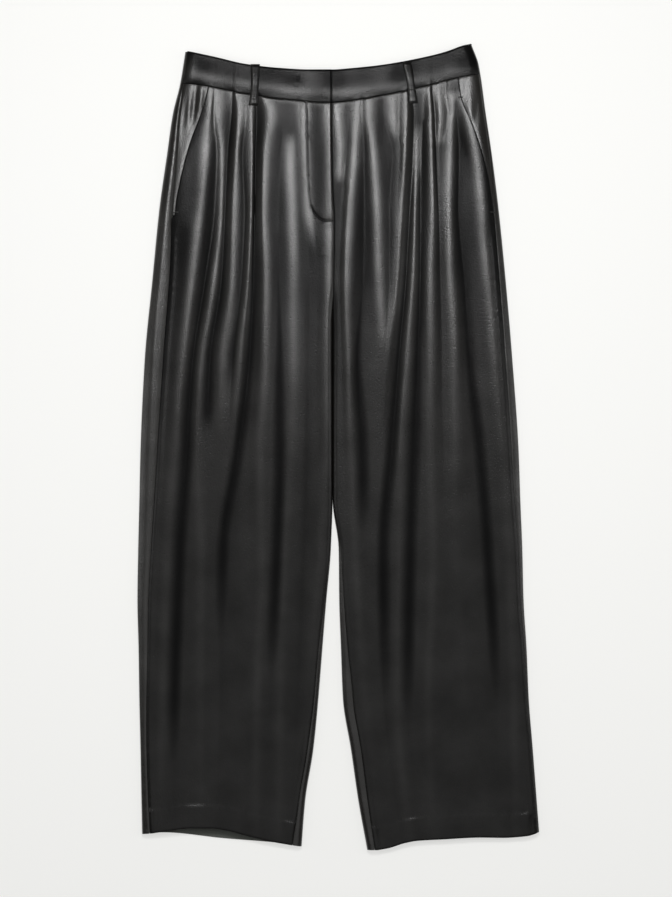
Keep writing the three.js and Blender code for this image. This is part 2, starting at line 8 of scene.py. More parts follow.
import bpy
import numpy as np
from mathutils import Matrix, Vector


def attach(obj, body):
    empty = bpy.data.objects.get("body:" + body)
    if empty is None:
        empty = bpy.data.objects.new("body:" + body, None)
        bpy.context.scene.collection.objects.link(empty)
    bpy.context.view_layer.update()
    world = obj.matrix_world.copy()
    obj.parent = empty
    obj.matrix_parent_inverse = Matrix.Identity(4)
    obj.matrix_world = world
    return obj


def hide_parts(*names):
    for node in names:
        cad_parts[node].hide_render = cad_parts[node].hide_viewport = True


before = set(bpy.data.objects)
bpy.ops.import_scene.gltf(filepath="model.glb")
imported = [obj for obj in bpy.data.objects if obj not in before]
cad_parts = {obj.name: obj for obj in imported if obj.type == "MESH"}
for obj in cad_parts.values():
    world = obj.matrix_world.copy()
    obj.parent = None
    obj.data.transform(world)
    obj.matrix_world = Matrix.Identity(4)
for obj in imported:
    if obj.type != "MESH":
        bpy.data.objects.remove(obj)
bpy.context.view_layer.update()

bl_info = {
    "name": "Leather Trousers Laid Flat",
    "version": (1, 0, 0),
    "blender": (4, 5, 0),
    "location": "3D View > Sidebar > Trousers",
    "description": "Builds pleated leather trousers around their packed model",
    "category": "Object",
}

SIDES = ("right", "left")
INWARD = {"right": 1.0, "left": -1.0}
MM = 0.001

# The middle of the outline, where the frame's origin is
MIDDLE_ACROSS = 8.0
MIDDLE_DOWN = 523.0

# How a leg's tube lies: its edges, the crotch, and how far down the two legs touch
EDGE_HEIGHT = 3.6
EDGE_CORNER = 4.0
OUTER_ROUNDING = 14.0
INNER_ROUNDING = 7.0
CROTCH_DOWN = 370.0
CROTCH_RUN = 60.0
LEGS_TOUCH = 0.4
LEGS_PART = (570.0, 640.0)

# Layers and turned edges; where an edge is sharper than SHARP_ANGLE degrees it is shaded as one
SEAM_GAP = 0.3
SHARP_ANGLE = 75.0
HEM_DEPTH = 30.0
HEM_PROUD = 0.3
HEM_DENT_RISE = 0.9
BAND_PROUD = 0.5
BAND_FOLD_KEEP = 0.12
MOUTH_STEP = 2.2
MOUTH_RUNOUT = 26.0
MOUTH_END_DOWN = 224.0
FACING_UNDERLAP = 9.0
FACING_DIVE = 1.3
FACING_END_DOWN = MOUTH_END_DOWN - 3.0
FLY_STEP = 1.2
FLY_RUNOUT = 30.0
FLY_END_DOWN = 228.0
LOOP_THICKNESS = 1.6
LOOP_LENGTH = 52.0
FRONT_LOOP_WALL = 1.4
BACK_LOOP_WALL = 1.5
BACK_LOOP_TOP = 1.75
BACK_REST = 1.9
BACK_CREASE = 0.7
BAR_TACK_HALF_WIDTH = 3.2

# Outline of each leg and its seams: down, outer edge, inner edge, and how far the side seam and the
# inseam lie in from those edges on the front
LEG_COLUMNS = ("down", "outer", "inner", "side_seam", "inseam")
LEG_ROWS = {
    "right": (
        (8, -191, -0.15, 2.5, 0),
        (51, -198, -0.15, 4, 0),
        (90, -207.5, -0.15, 9, 0),
        (142, -215, -0.15, 12.5, 0),
        (213, -225, -0.15, 17, 0),
        (304, -234, -0.15, 22, 0),
        (408, -244, -0.15, 24, 0),
        (525, -249.5, -0.15, 22, 0),
        (591, -251, -0.3, 19.5, 0),
        (655, -252.5, -2.2, 17, 0.5),
        (720, -253.5, -8, 14.5, 2),
        (785, -252, -13.3, 12, 5),
        (850, -251, -18.5, 9.5, 5.5),
        (915, -249.5, -25, 8, 7.5),
        (980, -248.3, -35.4, 9, 8),
        (1041, -247, -40.3, 11, 12),
    ),
    "left": (
        (1, 180.7, 0.15, 1.5, 0),
        (25, 189.4, 0.15, 1.5, 0),
        (90, 199, 0.15, 2, 0),
        (142, 206.7, 0.15, 2.5, 0),
        (213, 215.5, 0.15, 6.5, 0),
        (304, 224.6, 0.15, 8, 0),
        (408, 233.4, 0.15, 9, 0),
        (525, 241.5, 0.15, 9.5, 0),
        (591, 243.8, 0.3, 7.5, 0),
        (655, 246.4, 7.8, 5.5, 3),
        (720, 248, 8.5, 4.5, 6),
        (785, 252, 10.8, 3.5, 9),
        (850, 254.8, 13.4, 2, 13),
        (915, 260, 23.8, 1.2, 13),
        (980, 265, 33.2, 1, 12),
        (1045, 270, 44.9, 1, 10),
    ),
}
# Mean height of the upper side, as (down, height)
LIE_ROWS = ((0, 11.7), (90, 11.9), (215, 11.6), (305, 11.1), (410, 10.5), (525, 9.9), (655, 9.4),
            (850, 9.1), (1045, 9.4))
# The hem's open arch: height, middle across, half width, and how far it runs up the leg
HEM_ARCH = {"right": (5.0, -172.0, 62.0, 95.0), "left": (1.5, 150.0, 80.0, 70.0)}

# Folds of the fronts: the crests (rise above the mean height) and hollows (below it) of each leg in
# order across, with the place and the rise at each of FOLD_LEVELS
FOLD_LEVELS = (60, 90, 142, 213, 304, 408, 525, 655, 850, 1035)
FOLDS = {
    "right": (
        ("edge crest", (-198, -201, -207, -215, -224, -232, -236, -242, -248, -242),
         (0.3, 0.5, 0.8, 1, 1.2, 1, 0.6, 0.3, 0.2, 0)),
        ("side seam", None, (-0.8, -1.5, -2, -2.5, -3, -2.8, -2, -1.4, -1, -0.6)),
        ("pocket shelf", (-172, -173, -194, -196, -202, -212, -222, -231, -236, -230),
         (-0.8, -1.2, -0.3, 0, 0.3, 0.3, 0.2, 0.2, 0, 0)),
        ("side crest", (-156, -159, -165, -173, -183, -195, -205, -215, -221, -225),
         (0.6, 2, 3.3, 3.6, 3.6, 3.2, 2.4, 1.4, 0.7, 0.2)),
        ("side hollow", (-153, -154, -150, -153, -165, -181, -189, -198, -205, -208),
         (0.1, 0.2, -2, -3, -3.4, -3, -2.2, -1.3, -0.7, -0.2)),
        ("thigh crest", (-149, -150.5, -144, -145, -154, -169, -177, -171, -172, -172),
         (0.6, 0.9, -0.8, -1.6, 0.3, 1.2, 1.2, 0.9, 0.5, 0.1)),
        ("outer pleat hollow", (-129.5, -131, -136, -139, -144, -159, -163, -164, -166, -168),
         (-1.2, -2.4, -3.6, -4.2, -3.8, -2, -0.4, 0.2, 0.1, 0)),
        ("outer pleat crest", (-126, -122, -125, -129, -131, -142, -147, -158, -161, -163),
         (1, 1.8, 2.6, 2.6, 2.2, 0.8, 0.2, 0.2, 0.1, 0)),
        ("middle hollow", (-112, -112, -117, -114, -118, -130, -137, -153, -156, -158),
         (0.2, 0, -0.6, -1, -1.2, -0.4, 0, 0.1, 0, 0)),
        ("middle crest", (-104, -106, -104, -105, -109, -120, -130, -148, -151, -153),
         (0.3, 0.6, 1.5, 2.6, 2.8, 1.8, 0.6, 0, 0, 0)),
        ("inner pleat hollow", (-99, -98.5, -100, -101, -103, -108, -122, -142, -146, -150),
         (-1.2, -2.6, -4, -4.4, -4.2, -3.4, -2.2, -1.3, -0.6, -0.2)),
        ("inner pleat crest", (-93, -82, -88, -90, -87, -87, -95, -92, -98, -100),
         (1.2, 2.2, 3, 3.4, 3.3, 2.8, 1.8, 1, 0.4, 0.1)),
        ("belly hollow", (-60, -62, -67, -70, -70, -69, -69, -72, -81, -84),
         (0.6, 0.9, 0.3, 0, -0.3, -0.8, -1.2, -0.9, -0.4, -0.1)),
        ("fly crest", (-52, -53, -55, -53, -51, -51, -53, -62, -68, -70),
         (0.4, 0.5, 1, 1.1, 1.2, 1.1, 0.9, 0.6, 0.3, 0.1)),
        ("fly hollow", (-43, -44, -44, -40, -29, -31, -33, -38, -46, -54),
         (-0.2, -0.2, 0, -0.1, -0.9, -1.2, -1.4, -1.2, -0.7, -0.2)),
        ("stitch crest", (-38, -37, -35, -31.5, -22, -26, -29, -34, -43, -51),
         (0.6, 0.8, 0.8, 0.5, -0.6, -0.8, -1.0, -0.9, -0.5, -0.1)),
        ("stitch hollow", (-33, -32, -31, -27, -19, -22, -25, -30, -40, -49),
         (0.2, 0.1, 0, -0.1, -0.4, -0.5, -0.6, -0.5, -0.3, -0.05)),
        ("inner crest", (-4, -4, -3.5, -3, -4, -5.5, -6.5, -16, -31, -47),
         (0.9, 1.2, 1.4, 1.4, 1.8, 1.8, 1.6, 1, 0.5, 0.1)),
        ("inner edge", None, (0, 0, 0, 0, 0.5, 0.6, 0.6, 0.4, 0.2, 0)),
    ),
    "left": (
        ("inner edge", None, (-0.2, -0.6, -0.8, -1, -0.8, -0.5, -0.2, 0, 0, 0)),
        ("centre crest", (4, 5, 10.5, 8, 7, 8, 9, 16, 26, 54),
         (0.6, 0.8, 0.8, -0.7, -0.2, 0.2, 0.3, 0.2, 0.1, 0)),
        ("centre hollow", (22, 21, 17, 12, 9, 11, 13, 19, 30, 58),
         (-0.6, -0.6, -0.2, -0.1, 0.2, 0.4, 0.4, 0.3, 0.2, 0)),
        ("inner crest", (33, 32, 28.5, 20.5, 17, 20.5, 23, 29, 42, 66),
         (0.5, 0.8, 1.8, 2.8, 3.4, 3, 2, 1.2, 0.5, 0.1)),
        ("inner hollow", (38, 38, 41, 41, 40, 33, 39, 41, 50, 72),
         (-0.1, 0, -0.4, -1.2, -1.6, -1.2, -0.8, -0.3, -0.1, 0)),
        ("belly crest", (45, 46, 52.5, 58, 61, 66, 60, 52, 58, 80),
         (1.4, 1.8, 2.2, 2.4, 2.4, 2, 0.8, 0.4, 0.2, 0)),
        ("belly hollow", (66, 66, 78, 74, 74, 68.5, 62, 55, 61, 83),
         (-0.2, -0.4, -0.8, -0.2, 0.5, 1.9, 0.8, 0.4, 0.2, 0)),
        ("waist crest", (78, 79, 83, 80, 78, 69.5, 63, 56.5, 62, 84),
         (0.6, 0.8, 0.2, 0.9, 1.3, 1.95, 0.8, 0.4, 0.2, 0)),
        ("waist hollow", (86, 86, 86, 83, 80, 70, 63.5, 57, 63, 85),
         (0.1, 0.1, 0.4, 1.4, 1.7, 2, 0.8, 0.4, 0.2, 0)),
        ("inner pleat crest", (96, 95.5, 93.5, 90, 84, 71, 64, 58, 64, 86),
         (1.6, 2.4, 2.8, 3, 2.6, 2, 0.8, 0.4, 0.2, 0)),
        ("inner pleat hollow", (99.5, 105, 104, 100, 95, 86, 77, 66, 69, 90),
         (-1.2, -3, -4.2, -4.6, -4.4, -3.6, -2.4, -1.2, -0.6, -0.2)),
        ("middle crest", (108, 110, 109, 107, 104, 96, 88, 87, 84, 100),
         (-0.8, -2.6, -2.6, -0.6, 0.8, 1.4, 1.4, 1, 0.5, 0.1)),
        ("middle hollow", (118, 117, 115, 113.5, 113, 110.5, 106, 101, 98, 112),
         (-0.4, -2.4, -3.2, -3.2, -3, -2.8, -2, -1.1, -0.5, -0.1)),
        ("outer pleat crest", (125.5, 127, 129, 130, 127, 127, 127, 130, 124, 130),
         (1, 1.4, 2.2, 2.6, 2.4, 2, 1.4, 0.8, 0.4, 0.1)),
        ("outer pleat hollow", (129, 132.5, 134, 137, 140, 142, 144, 146, 150, 155),
         (-0.6, -1.6, -1.8, -1.6, -1, -0.6, -0.4, -0.2, -0.1, 0)),
        ("second crest", (138, 139.5, 137.5, 141, 144, 147, 149, 150, 157, 163),
         (1, 1.6, -0.6, -0.6, 0, 0.2, 0.2, 0.1, 0, 0)),
        ("second hollow", (146, 149, 141.5, 145, 148, 152, 153, 154, 163, 170),
         (-0.2, -0.4, -0.5, 0.4, 1.2, 1.1, 0.7, 0.4, 0.15, 0)),
        ("thigh crest", (150, 155, 153, 150.5, 153, 158, 158, 160, 172, 178),
         (0.2, 0.5, 1, 1.6, 2, 1.8, 1.2, 0.7, 0.3, 0.1)),
        ("side hollow", (158, 161, 164, 163, 171, 178, 191, 201, 212, 216),
         (0, -1.2, -2.4, -2.8, -2.8, -2.4, -1.6, -1, -0.5, -0.1)),
        ("side crest", (171, 174, 184, 192, 201, 210, 221, 229, 235, 238),
         (0.2, 1.2, 2.4, 3, 3, 2.6, 1.8, 1, 0.4, 0.1)),
        ("side seam", None, (-0.5, -0.8, -1, -1.2, -1.2, -1.2, -0.8, -0.5, -0.3, -0.1)),
    ),
}
# Share of the table's fold heights that the lying cloth keeps
FOLD_KEEP = 0.6
# Steepness of a hollow's two sides at its line, as a multiple of the mean slope to the next line
HOLLOW_CREASE = 1.3
# Half widths of the bell of painted shade along a hollow, on the thigh and on the lower leg
HOLLOW_SHADE_WIDTHS = (2.8, 15.0)
# Half widths of the bell of painted highlight along a crest, by the waist seam and below it
CREST_HIGHLIGHT_WIDTHS = (8.5, 6.0)
# Painted shade of the flats between the folds, on the hip and on the leg
FLAT_PAINTED_SHADE = (0.93, 0.6)
# Painted shade added along the fly's stitch line, and the half width of its bell
STITCH_PAINTED_SHADE = 0.5
STITCH_PAINTED_SHADE_WIDTH = 1.4

# Edges that run across, as (across, down)
WAIST_TOP = ((-196, 7), (-154, 16), (-112, 25.7), (-70, 30.6), (-28, 32.8), (-2, 32.8), (29, 30.6),
             (57, 27.7), (85, 23.4), (113, 18), (147, 9.8), (178, 0.6), (192, 1.5))
WAIST_SEAM = ((-205, 49.5), (-174, 53), (-112, 64.6), (-56, 72.3), (-5, 76.2), (1, 76), (57, 68),
              (108, 57.6), (156, 45.5), (198, 37))
HEM_FRONT = {
    "right": ((-250, 1025), (-236, 1023.5), (-212, 1020), (-185, 1016.6), (-159, 1016.6), (-135, 1020),
              (-116, 1025.3), (-81, 1034), (-55, 1038.5), (-38, 1041)),
    "left": ((42, 1045.2), (55, 1045.2), (71, 1043), (94, 1036), (110, 1033), (142, 1031.2), (192, 1028.8),
             (222, 1029.2), (252, 1027), (266, 1023), (272, 1019)),
}
HEM_BACK = {
    "right": ((-250, 1025), (-236, 1023.5), (-220, 1023), (-142, 1030.5), (-81, 1035.5),
              (-55, 1038.5), (-38, 1041)),
    "left": ((42, 1045.2), (55, 1045), (94, 1035), (142, 1030), (222, 1028), (252, 1026.5),
             (266, 1023), (272, 1019)),
}

# Edges and sewing that run down, as (down, across)
POCKET_MOUTH = {
    "right": ((50, -160.5), (80, -167.7), (133, -186.8), (179, -198.4), (199, -202.5), (226, -205.5)),
    "left": ((38, 162.5), (69, 167.2), (105, 182), (150, 197), (178, 203.5), (208, 207.7), (226, 209.5)),
}
LAP_EDGE = ((0, -1.8), (100, -1.8), (180, -0.6), (230, 2), (300, 1), (350, 0))
J_STITCH = ((76, -34.3), (108, -33.4), (158, -32.5), (199, -30), (209, -28.3), (217, -25), (223, -20.6),
            (227.5, -14.5), (229.5, -7.7), (229.5, 0.5))

# Small dents where the turned hem shows through: across, half width
HEM_DENTS = ((-236, 4), (-180, 14), (-56, 8), (53, 8), (102, 10), (249, 9))

# Front belt loops: place across and down of the upper end, and how far the lower end leans across
FRONT_LOOPS = {"right": (-100.4, 27.5, -2.2), "left": (96.0, 24.7, 8.6)}
# Back belt loops: place across and down of the upper end
BACK_LOOPS = {
    "belt_loop_back_right": (-118.0, 27.0),
    "belt_loop_back_centre": (0.0, 33.0),
    "belt_loop_back_left": (112.0, 21.0),
}

# Widths of what the textures draw, in millimetres, and heights of their relief, in metres
GRAIN_WIDTH = 1.1
FINE_GRAIN_WIDTH = 2.2
CLOUD_WIDTH = 45.0
KNIT_LOOP_WIDTH = 0.9
THREAD_TWIST_WIDTH = 0.4
GRAIN_RELIEF = 0.00012
FINE_GRAIN_RELIEF = 0.0004
KNIT_RELIEF = 0.0002
# The coating: spread of its roughness, share of the sheen left under full painted shade, and wear from place
# to place
ROUGHNESS_SPREAD = 0.05
HOLLOW_SHEEN = 0.1
WEAR_RANGE = (0.55, 1.45)

# Sewing: levels of the pockets' bar tacks, and where each hem's stitches start and end across
TACK_LEVELS = {"right": {"upper": 80.0, "lower": 218.0}, "left": {"upper": 69.0, "lower": 218.0}}
HEM_STITCH_ENDS = {"right": (-240.0, -54.0), "left": (60.0, 262.0)}

# The stage, in metres: the picture's middle, the floor, and each lamp's name, place, aim, size
# across and down, and watts
PICTURE_MIDDLE = (-0.0036, -0.0012)
FLOOR_HALF = 4.0
FLOOR_DROP = 0.0002
LAMPS = (
    ("softbox_over_hips", (0.0, 0.62, 1.5), (0.0, 0.62, 0.0), (0.5, 0.3), 15.0),
    ("strip_image_left", (-2.0, 0.0, 0.8), (-0.2, 0.0, 0.0), (0.5, 2.6), 11.0),
    ("strip_image_right", (2.0, 0.0, 0.8), (0.2, 0.0, 0.0), (0.5, 2.6), 11.0),
    ("overhead_scrim", (0.0, -0.2, 2.5), (0.0, -0.2, 0.0), (2.6, 3.6), 24.0),
)


def mix(a, b, f):
    """The value a share f of the way from a to b."""
    return a + (b - a) * f


def ease(a, b, value):
    """Cubic ease: 0 at a and before it, 1 at b and beyond, 3 f squared less 2 f cubed between."""
    f = np.clip((value - a) / (b - a), 0.0, 1.0)
    return f * f * (3.0 - 2.0 * f)


def bump(distance, width):
    """A bell: e to the minus of the squared share of distance in width."""
    return np.exp(-((distance / width) ** 2))


def smooth_line(points):
    """A cubic line through points that never overshoots them, level beyond its ends.

    Each inner slope is the harmonic mean of its neighbours' steps, or nought at a turning point.
    """
    x, y = (np.array(column, float) for column in zip(*points))
    steps = np.diff(y) / np.diff(x)
    slope = np.concatenate([steps[:1], np.zeros(len(x) - 2), steps[-1:]])
    same_way = steps[:-1] * steps[1:] > 0
    total = np.where(same_way, steps[:-1] + steps[1:], 1.0)
    slope[1:-1] = np.where(same_way, 2.0 * steps[:-1] * steps[1:] / total, 0.0)

    def at(value):
        value = np.clip(np.asarray(value, float), x[0], x[-1])
        i = np.clip(np.searchsorted(x, value, side="right") - 1, 0, len(x) - 2)
        span = x[i + 1] - x[i]
        f = (value - x[i]) / span
        rise = f * (1 - f) * (1 - f) * slope[i] - f * f * (1 - f) * slope[i + 1]
        return mix(y[i], y[i + 1], f * f * (3 - 2 * f)) + rise * span

    return at


LEG = {
    side: {
        name: smooth_line([(row[0], row[i + 1]) for row in LEG_ROWS[side]])
        for i, name in enumerate(LEG_COLUMNS[1:])
    }
    for side in SIDES
}
lie_height = smooth_line(LIE_ROWS)
waist_top = smooth_line(WAIST_TOP)
waist_seam = smooth_line(WAIST_SEAM)
lap_edge = smooth_line(LAP_EDGE)
hem_front = {side: smooth_line(HEM_FRONT[side]) for side in SIDES}
hem_back = {side: smooth_line(HEM_BACK[side]) for side in SIDES}
pocket_mouth = {side: smooth_line(POCKET_MOUTH[side]) for side in SIDES}
FOLD_LINES = {
    side: [
        (
            name,
            across and smooth_line(list(zip(FOLD_LEVELS, across))),
            smooth_line(list(zip(FOLD_LEVELS, rise))),
        )
        for name, across, rise in FOLDS[side]
    ]
    for side in SIDES
}


def waves(across, down, size_across, size_down, seed):
    """Soft seeded unevenness, mostly from -1 to 1: a fifth of the sum of 16 sine waves near the given
    lengths."""
    rng = np.random.default_rng(seed)
    total = np.zeros(np.broadcast(across, down).shape)
    for _ in range(16):
        stretch = rng.uniform(0.7, 1.5, 2)
        turn, phase = rng.uniform(-1, 1), rng.uniform(0, 2 * math.pi)
        total += np.sin(2 * math.pi * (across / (size_across * stretch[0])
                                       + turn * down / (size_down * stretch[1])) + phase)
    return total / 5.0


def inner_front(side, down):
    """The front's inner edge: the fly's lapped edge down to the crotch, then the leg's inner edge,
    drawn in a little as far down as the legs touch."""
    lap = lap_edge(down) - INWARD[side] * SEAM_GAP / 2
    edge = mix(lap, LEG[side]["inner"](down), ease(CROTCH_DOWN - 40, CROTCH_DOWN, down))
    return edge + INWARD[side] * LEGS_TOUCH * (1 - ease(*LEGS_PART, down))


def side_seam(side, down):
    """Where the side seam runs across."""
    return LEG[side]["outer"](down) + INWARD[side] * LEG[side]["side_seam"](down)


def inseam_inset(side, down):
    """How far in from the leg's inner edge the inseam lies on the front, from the crotch down."""
    return LEG[side]["inseam"](down) * ease(CROTCH_DOWN, CROTCH_DOWN + 60, down)


def legs_apart(down):
    """0 where the inseams are pressed together, 1 further down, where each shows as a seam."""
    return ease(CROTCH_DOWN + 250, CROTCH_DOWN + 330, down)


def fold_rise(side, across, down):
    """Height of the folds over the mean: a cubic line across through the crests and hollows.

    Its slope is nought on a crest, the harmonic mean of its neighbours' on a line between, and
    steep on both sides of a hollow, which makes a crease there.
    """
    places, rises = [], []
    for name, line, rise in FOLD_LINES[side]:
        if name == "side seam":
            places.append(side_seam(side, down))
        elif name == "inner edge":
            places.append(inner_front(side, down))
        else:
            places.append(line(down))
        rises.append(rise(down))
    gaps = [np.maximum(after - before, 0.5) for before, after in zip(places, places[1:])]
    steps = [(after - before) / gap for before, after, gap in zip(rises, rises[1:], gaps)]
    slopes = [(steps[0], steps[0])]
    for before, after in zip(steps, steps[1:]):
        between = before * after > 0
        mean = 2 * before * after / np.where(between, before + after, 1.0)
        crease = np.where((before < 0) & (after > 0), HOLLOW_CREASE, 0.0)
        slopes.append((np.where(between, mean, crease * before), np.where(between, mean, crease * after)))
    slopes.append((steps[-1], steps[-1]))
    total = np.array(np.broadcast_to(rises[0], np.shape(across)), float)
    for i, gap in enumerate(gaps):
        f = np.clip((across - places[i]) / gap, 0.0, 1.0)
        bend = f * (1 - f) * (1 - f) * slopes[i][1] - f * f * (1 - f) * slopes[i + 1][0]
        value = mix(rises[i], rises[i + 1], f * f * (3 - 2 * f)) + bend * gap
        total = np.where(across > places[i], value, total)
    return total


def fold_shade(side, across, down):
    """Painted shade of a place, 0 to 1: least on the crests, a painted highlight, more on flats, most in
    hollows.

    The hollows' part comes from the depth below the mean height, and from a bell along each hollow
    that is deeper than its crests; the crests' part from a bell along each crest that stands proud.
    """
    flat = mix(*FLAT_PAINTED_SHADE, ease(230, 470, down))
    shade = mix(flat, 1.0, ease(0.2, -3.0, fold_rise(side, across, down)))
    # The crests' painted highlight weakens down the leg
    crest_highlight_fade = mix(1.0, 0.3, ease(330, 560, down))
    hollow_width = mix(*HOLLOW_SHADE_WIDTHS, ease(250, 540, down))
    crest_width = mix(*CREST_HIGHLIGHT_WIDTHS, ease(70, 130, down))
    lines = FOLD_LINES[side]
    # Painted shade in a bell along each hollow; a painted highlight, as less shade, in a bell along each
    # crest
    for before, (name, line, rise), after in zip(lines, lines[1:], lines[2:]):
        if "hollow" in name:
            depth = np.minimum(before[2](down), after[2](down)) - rise(down)
            shade = np.maximum(shade, bump(across - line(down), hollow_width) * ease(0.05, 1.3, depth))
        elif "crest" in name:
            proud = rise(down) - np.maximum(before[2](down), after[2](down))
            crest_highlight = bump(across - line(down), crest_width) * ease(0, 0.7, proud)
            shade = shade - flat * crest_highlight_fade * crest_highlight
    return np.clip(shade, 0, 1)


def hem_arch(side, across, down):
    """The hem's open arch: a bell across the leg that dies out up it."""
    height, middle, half_width, length = HEM_ARCH[side]
    hem = hem_front[side](across)
    return height * ease(0, 1, (down - hem + length) / length) * bump(across - middle, half_width)


def round_off(distance, rounding):
    """Quarter-round fall of an edge: 0 at the edge, 1 beyond the rounding."""
    f = 1 - np.clip(distance / rounding, 0.0, 1.0)
    return np.sqrt(1 - f * f)


def upper_height(side, across, down):
    """The upper side of a leg: mean height, folds and hem arch, rounded off at the leg's edges."""
    outer = LEG[side]["outer"](down)
    off = (across - outer) * INWARD[side]
    width = (inner_front(side, down) - outer) * INWARD[side]
    above = waist_seam(across) - down
    damping = mix(1.0, BAND_FOLD_KEEP, ease(-2, 6, above))
    unevenness = 0.2 * waves(across, down, 34, 160, seed=11) * ease(-10, -60, above)
    folds = FOLD_KEEP * damping * fold_rise(side, across, down)
    full = lie_height(down) + folds + hem_arch(side, across, down) + unevenness
    fall = ease(CROTCH_DOWN - CROTCH_RUN, CROTCH_DOWN, down)
    round_inner = 1 - fall * (1 - round_off(width - off, INNER_ROUNDING))
    return mix(EDGE_HEIGHT, full, round_off(off, OUTER_ROUNDING) * round_inner)


def path_points(points):
    """A smooth path through (down, across) points as 60 (across, down) points, by its length."""
    down, across = (np.array(column, float) for column in zip(*points))
    run = np.concatenate([[0], np.cumsum(np.hypot(np.diff(down), np.diff(across)))])
    even = np.linspace(0, run[-1], 60)
    return np.stack([smooth_line(list(zip(run, across)))(even), smooth_line(list(zip(run, down)))(even)], 1)


def signed_distance(path, across, down):
    """Distance to a path of points, + on the side of larger across."""
    best = np.full(np.shape(across), 1e9)
    sign = np.ones(np.shape(across))
    for start, end in zip(path[:-1], path[1:]):
        along = end - start
        f = np.clip(((across - start[0]) * along[0] + (down - start[1]) * along[1]) / (along @ along), 0, 1)
        gap_across = across - start[0] - f * along[0]
        gap_down = down - start[1] - f * along[1]
        gap = np.hypot(gap_across, gap_down)
        nearer = gap < best
        best = np.where(nearer, gap, best)
        sign = np.where(nearer, np.sign(gap_across * along[1] - gap_down * along[0]), sign)
    return best * sign


J_PATH = path_points(J_STITCH)


def seam_roll(distance, depth=0.4, width=1.1):
    """How a sewn edge dips into its seam."""
    return -depth * bump(np.maximum(distance, 0), width)


def front_height(side, across, down):
    """The front panel's outer face: the leg's upper side with its laps, seams, stitch lines and hem."""
    height = upper_height(side, across, down)
    seam = (across - side_seam(side, down)) * INWARD[side]
    mouth = (across - pocket_mouth[side](down)) * INWARD[side]
    is_mouth = 1 - ease(MOUTH_END_DOWN - 6, MOUTH_END_DOWN + 2, down)
    start = mix(np.minimum(seam, mouth), seam, ease(MOUTH_END_DOWN, MOUTH_END_DOWN + 30, down))
    lift = MOUTH_STEP * (1 - ease(MOUTH_END_DOWN - 10, MOUTH_END_DOWN + 36, down))
    height += lift * (1 - ease(0, MOUTH_RUNOUT, start))
    height += is_mouth * seam_roll(start, 0.7, 0.8)
    below_mouth = ease(MOUTH_END_DOWN - 4, MOUTH_END_DOWN + 40, down)
    height += below_mouth * (seam_roll(start) + 0.8 * bump(start - 4, 3.5))
    end = (inner_front(side, down) - across) * INWARD[side] - inseam_inset(side, down)
    height += legs_apart(down) * (seam_roll(end) + 0.5 * bump(end - 4, 3.5))
    below = down - waist_seam(across)
    height += seam_roll(below, 0.3, 1.0)
    pucker = waves(across, down, 9, 60, seed=23)
    height += 0.07 * pucker * bump(below, 12) * (below > 0)
    centre = 1 - ease(CROTCH_DOWN - 40, CROTCH_DOWN, down)
    if side == "right":
        lap = 1 - ease(FLY_END_DOWN - 12, FLY_END_DOWN + 14, down)
        height += lap * (FLY_STEP * (1 - ease(0, FLY_RUNOUT, end)) + seam_roll(end, 0.4, 0.9))
        height += (1 - lap) * centre * seam_roll(end, 0.25)
        line = signed_distance(J_PATH, across, down)
        height -= 0.45 * bump(line, 0.8) + 0.35 * (1 - ease(-1.5, 1.0, line)) * bump(line, 12)
        height += 0.12 * waves(across, down, 14, 9, seed=5) * bump(line, 5)
    else:
        height += centre * seam_roll(end, 0.5, 1.0)
    above_hem = hem_front[side](across) - down
    dent = np.zeros(np.shape(across))
    for middle, half_width in HEM_DENTS:
        dent = dent + bump(across - middle, half_width)
    turned = 1 - ease(HEM_DEPTH - 1.5, HEM_DEPTH + 2.0, above_hem)
    height += (HEM_PROUD + HEM_DENT_RISE * dent) * turned * mix(1, ease(-2, HEM_DEPTH, above_hem), 0.8)
    height += 0.16 * waves(across, down, 11, 40, seed=31) * bump(above_hem - HEM_DEPTH, 7)
    height -= 0.7 * bump(above_hem, 1.4)
    side_pucker = waves(down, across, 13, 40, seed=7)
    height += 0.14 * side_pucker * (1 - is_mouth) * bump(start, 9)
    return height


def facing_height(side, across, down):
    """The pocket facing: the leg's upper side, diving under the front past the pocket mouth."""
    past = (across - pocket_mouth[side](down)) * INWARD[side]
    seam = (across - side_seam(side, down)) * INWARD[side]
    height = upper_height(side, across, down) - FACING_DIVE * ease(-5, FACING_UNDERLAP - 2, past)
    height += seam_roll(seam, 0.35) + seam_roll(down - waist_seam(across), 0.3, 1.0)
    near_tack = bump(down - 80, 26) * bump(past + 12, 14)
    return height + near_tack * 0.9 * waves(across, down, 16, 70, seed=3)


def back_rest(down):
    """How high the back lies: its belt loops lift it near the waist."""
    return BACK_REST * (1 - ease(86, 128, down))


def upper_sections(side, levels):
    """The leg's upper side at each level, as rows of places across and the length run along them."""
    outer = LEG[side]["outer"](levels)[:, None]
    width = (inner_front(side, levels)[:, None] - outer) * INWARD[side]
    turn = 1 - np.cos(np.linspace(0, math.pi / 2, 14))
    middle = np.linspace(0, 1, 240)
    off = np.concatenate([
        np.broadcast_to(OUTER_ROUNDING * turn[:-1], (len(levels), 13)),
        OUTER_ROUNDING + middle * (width - INNER_ROUNDING - OUTER_ROUNDING),
        width - INNER_ROUNDING * turn[-2::-1],
    ], axis=1)
    across = outer + INWARD[side] * off
    height = upper_height(side, across, np.broadcast_to(levels[:, None], across.shape))
    steps = np.hypot(np.diff(across, axis=1), np.diff(height, axis=1))
    run = np.concatenate([np.zeros((len(levels), 1)), np.cumsum(steps, axis=1)], axis=1)
    return {"off": off, "across": across, "height": height, "run": run, "width": width[:, 0]}


def read_rows(keys, values, wanted):
    """Linear reading of each row of values at the wanted values of its rising keys."""
    return np.stack([np.interp(w, k, v) for k, v, w in zip(keys, values, wanted)])


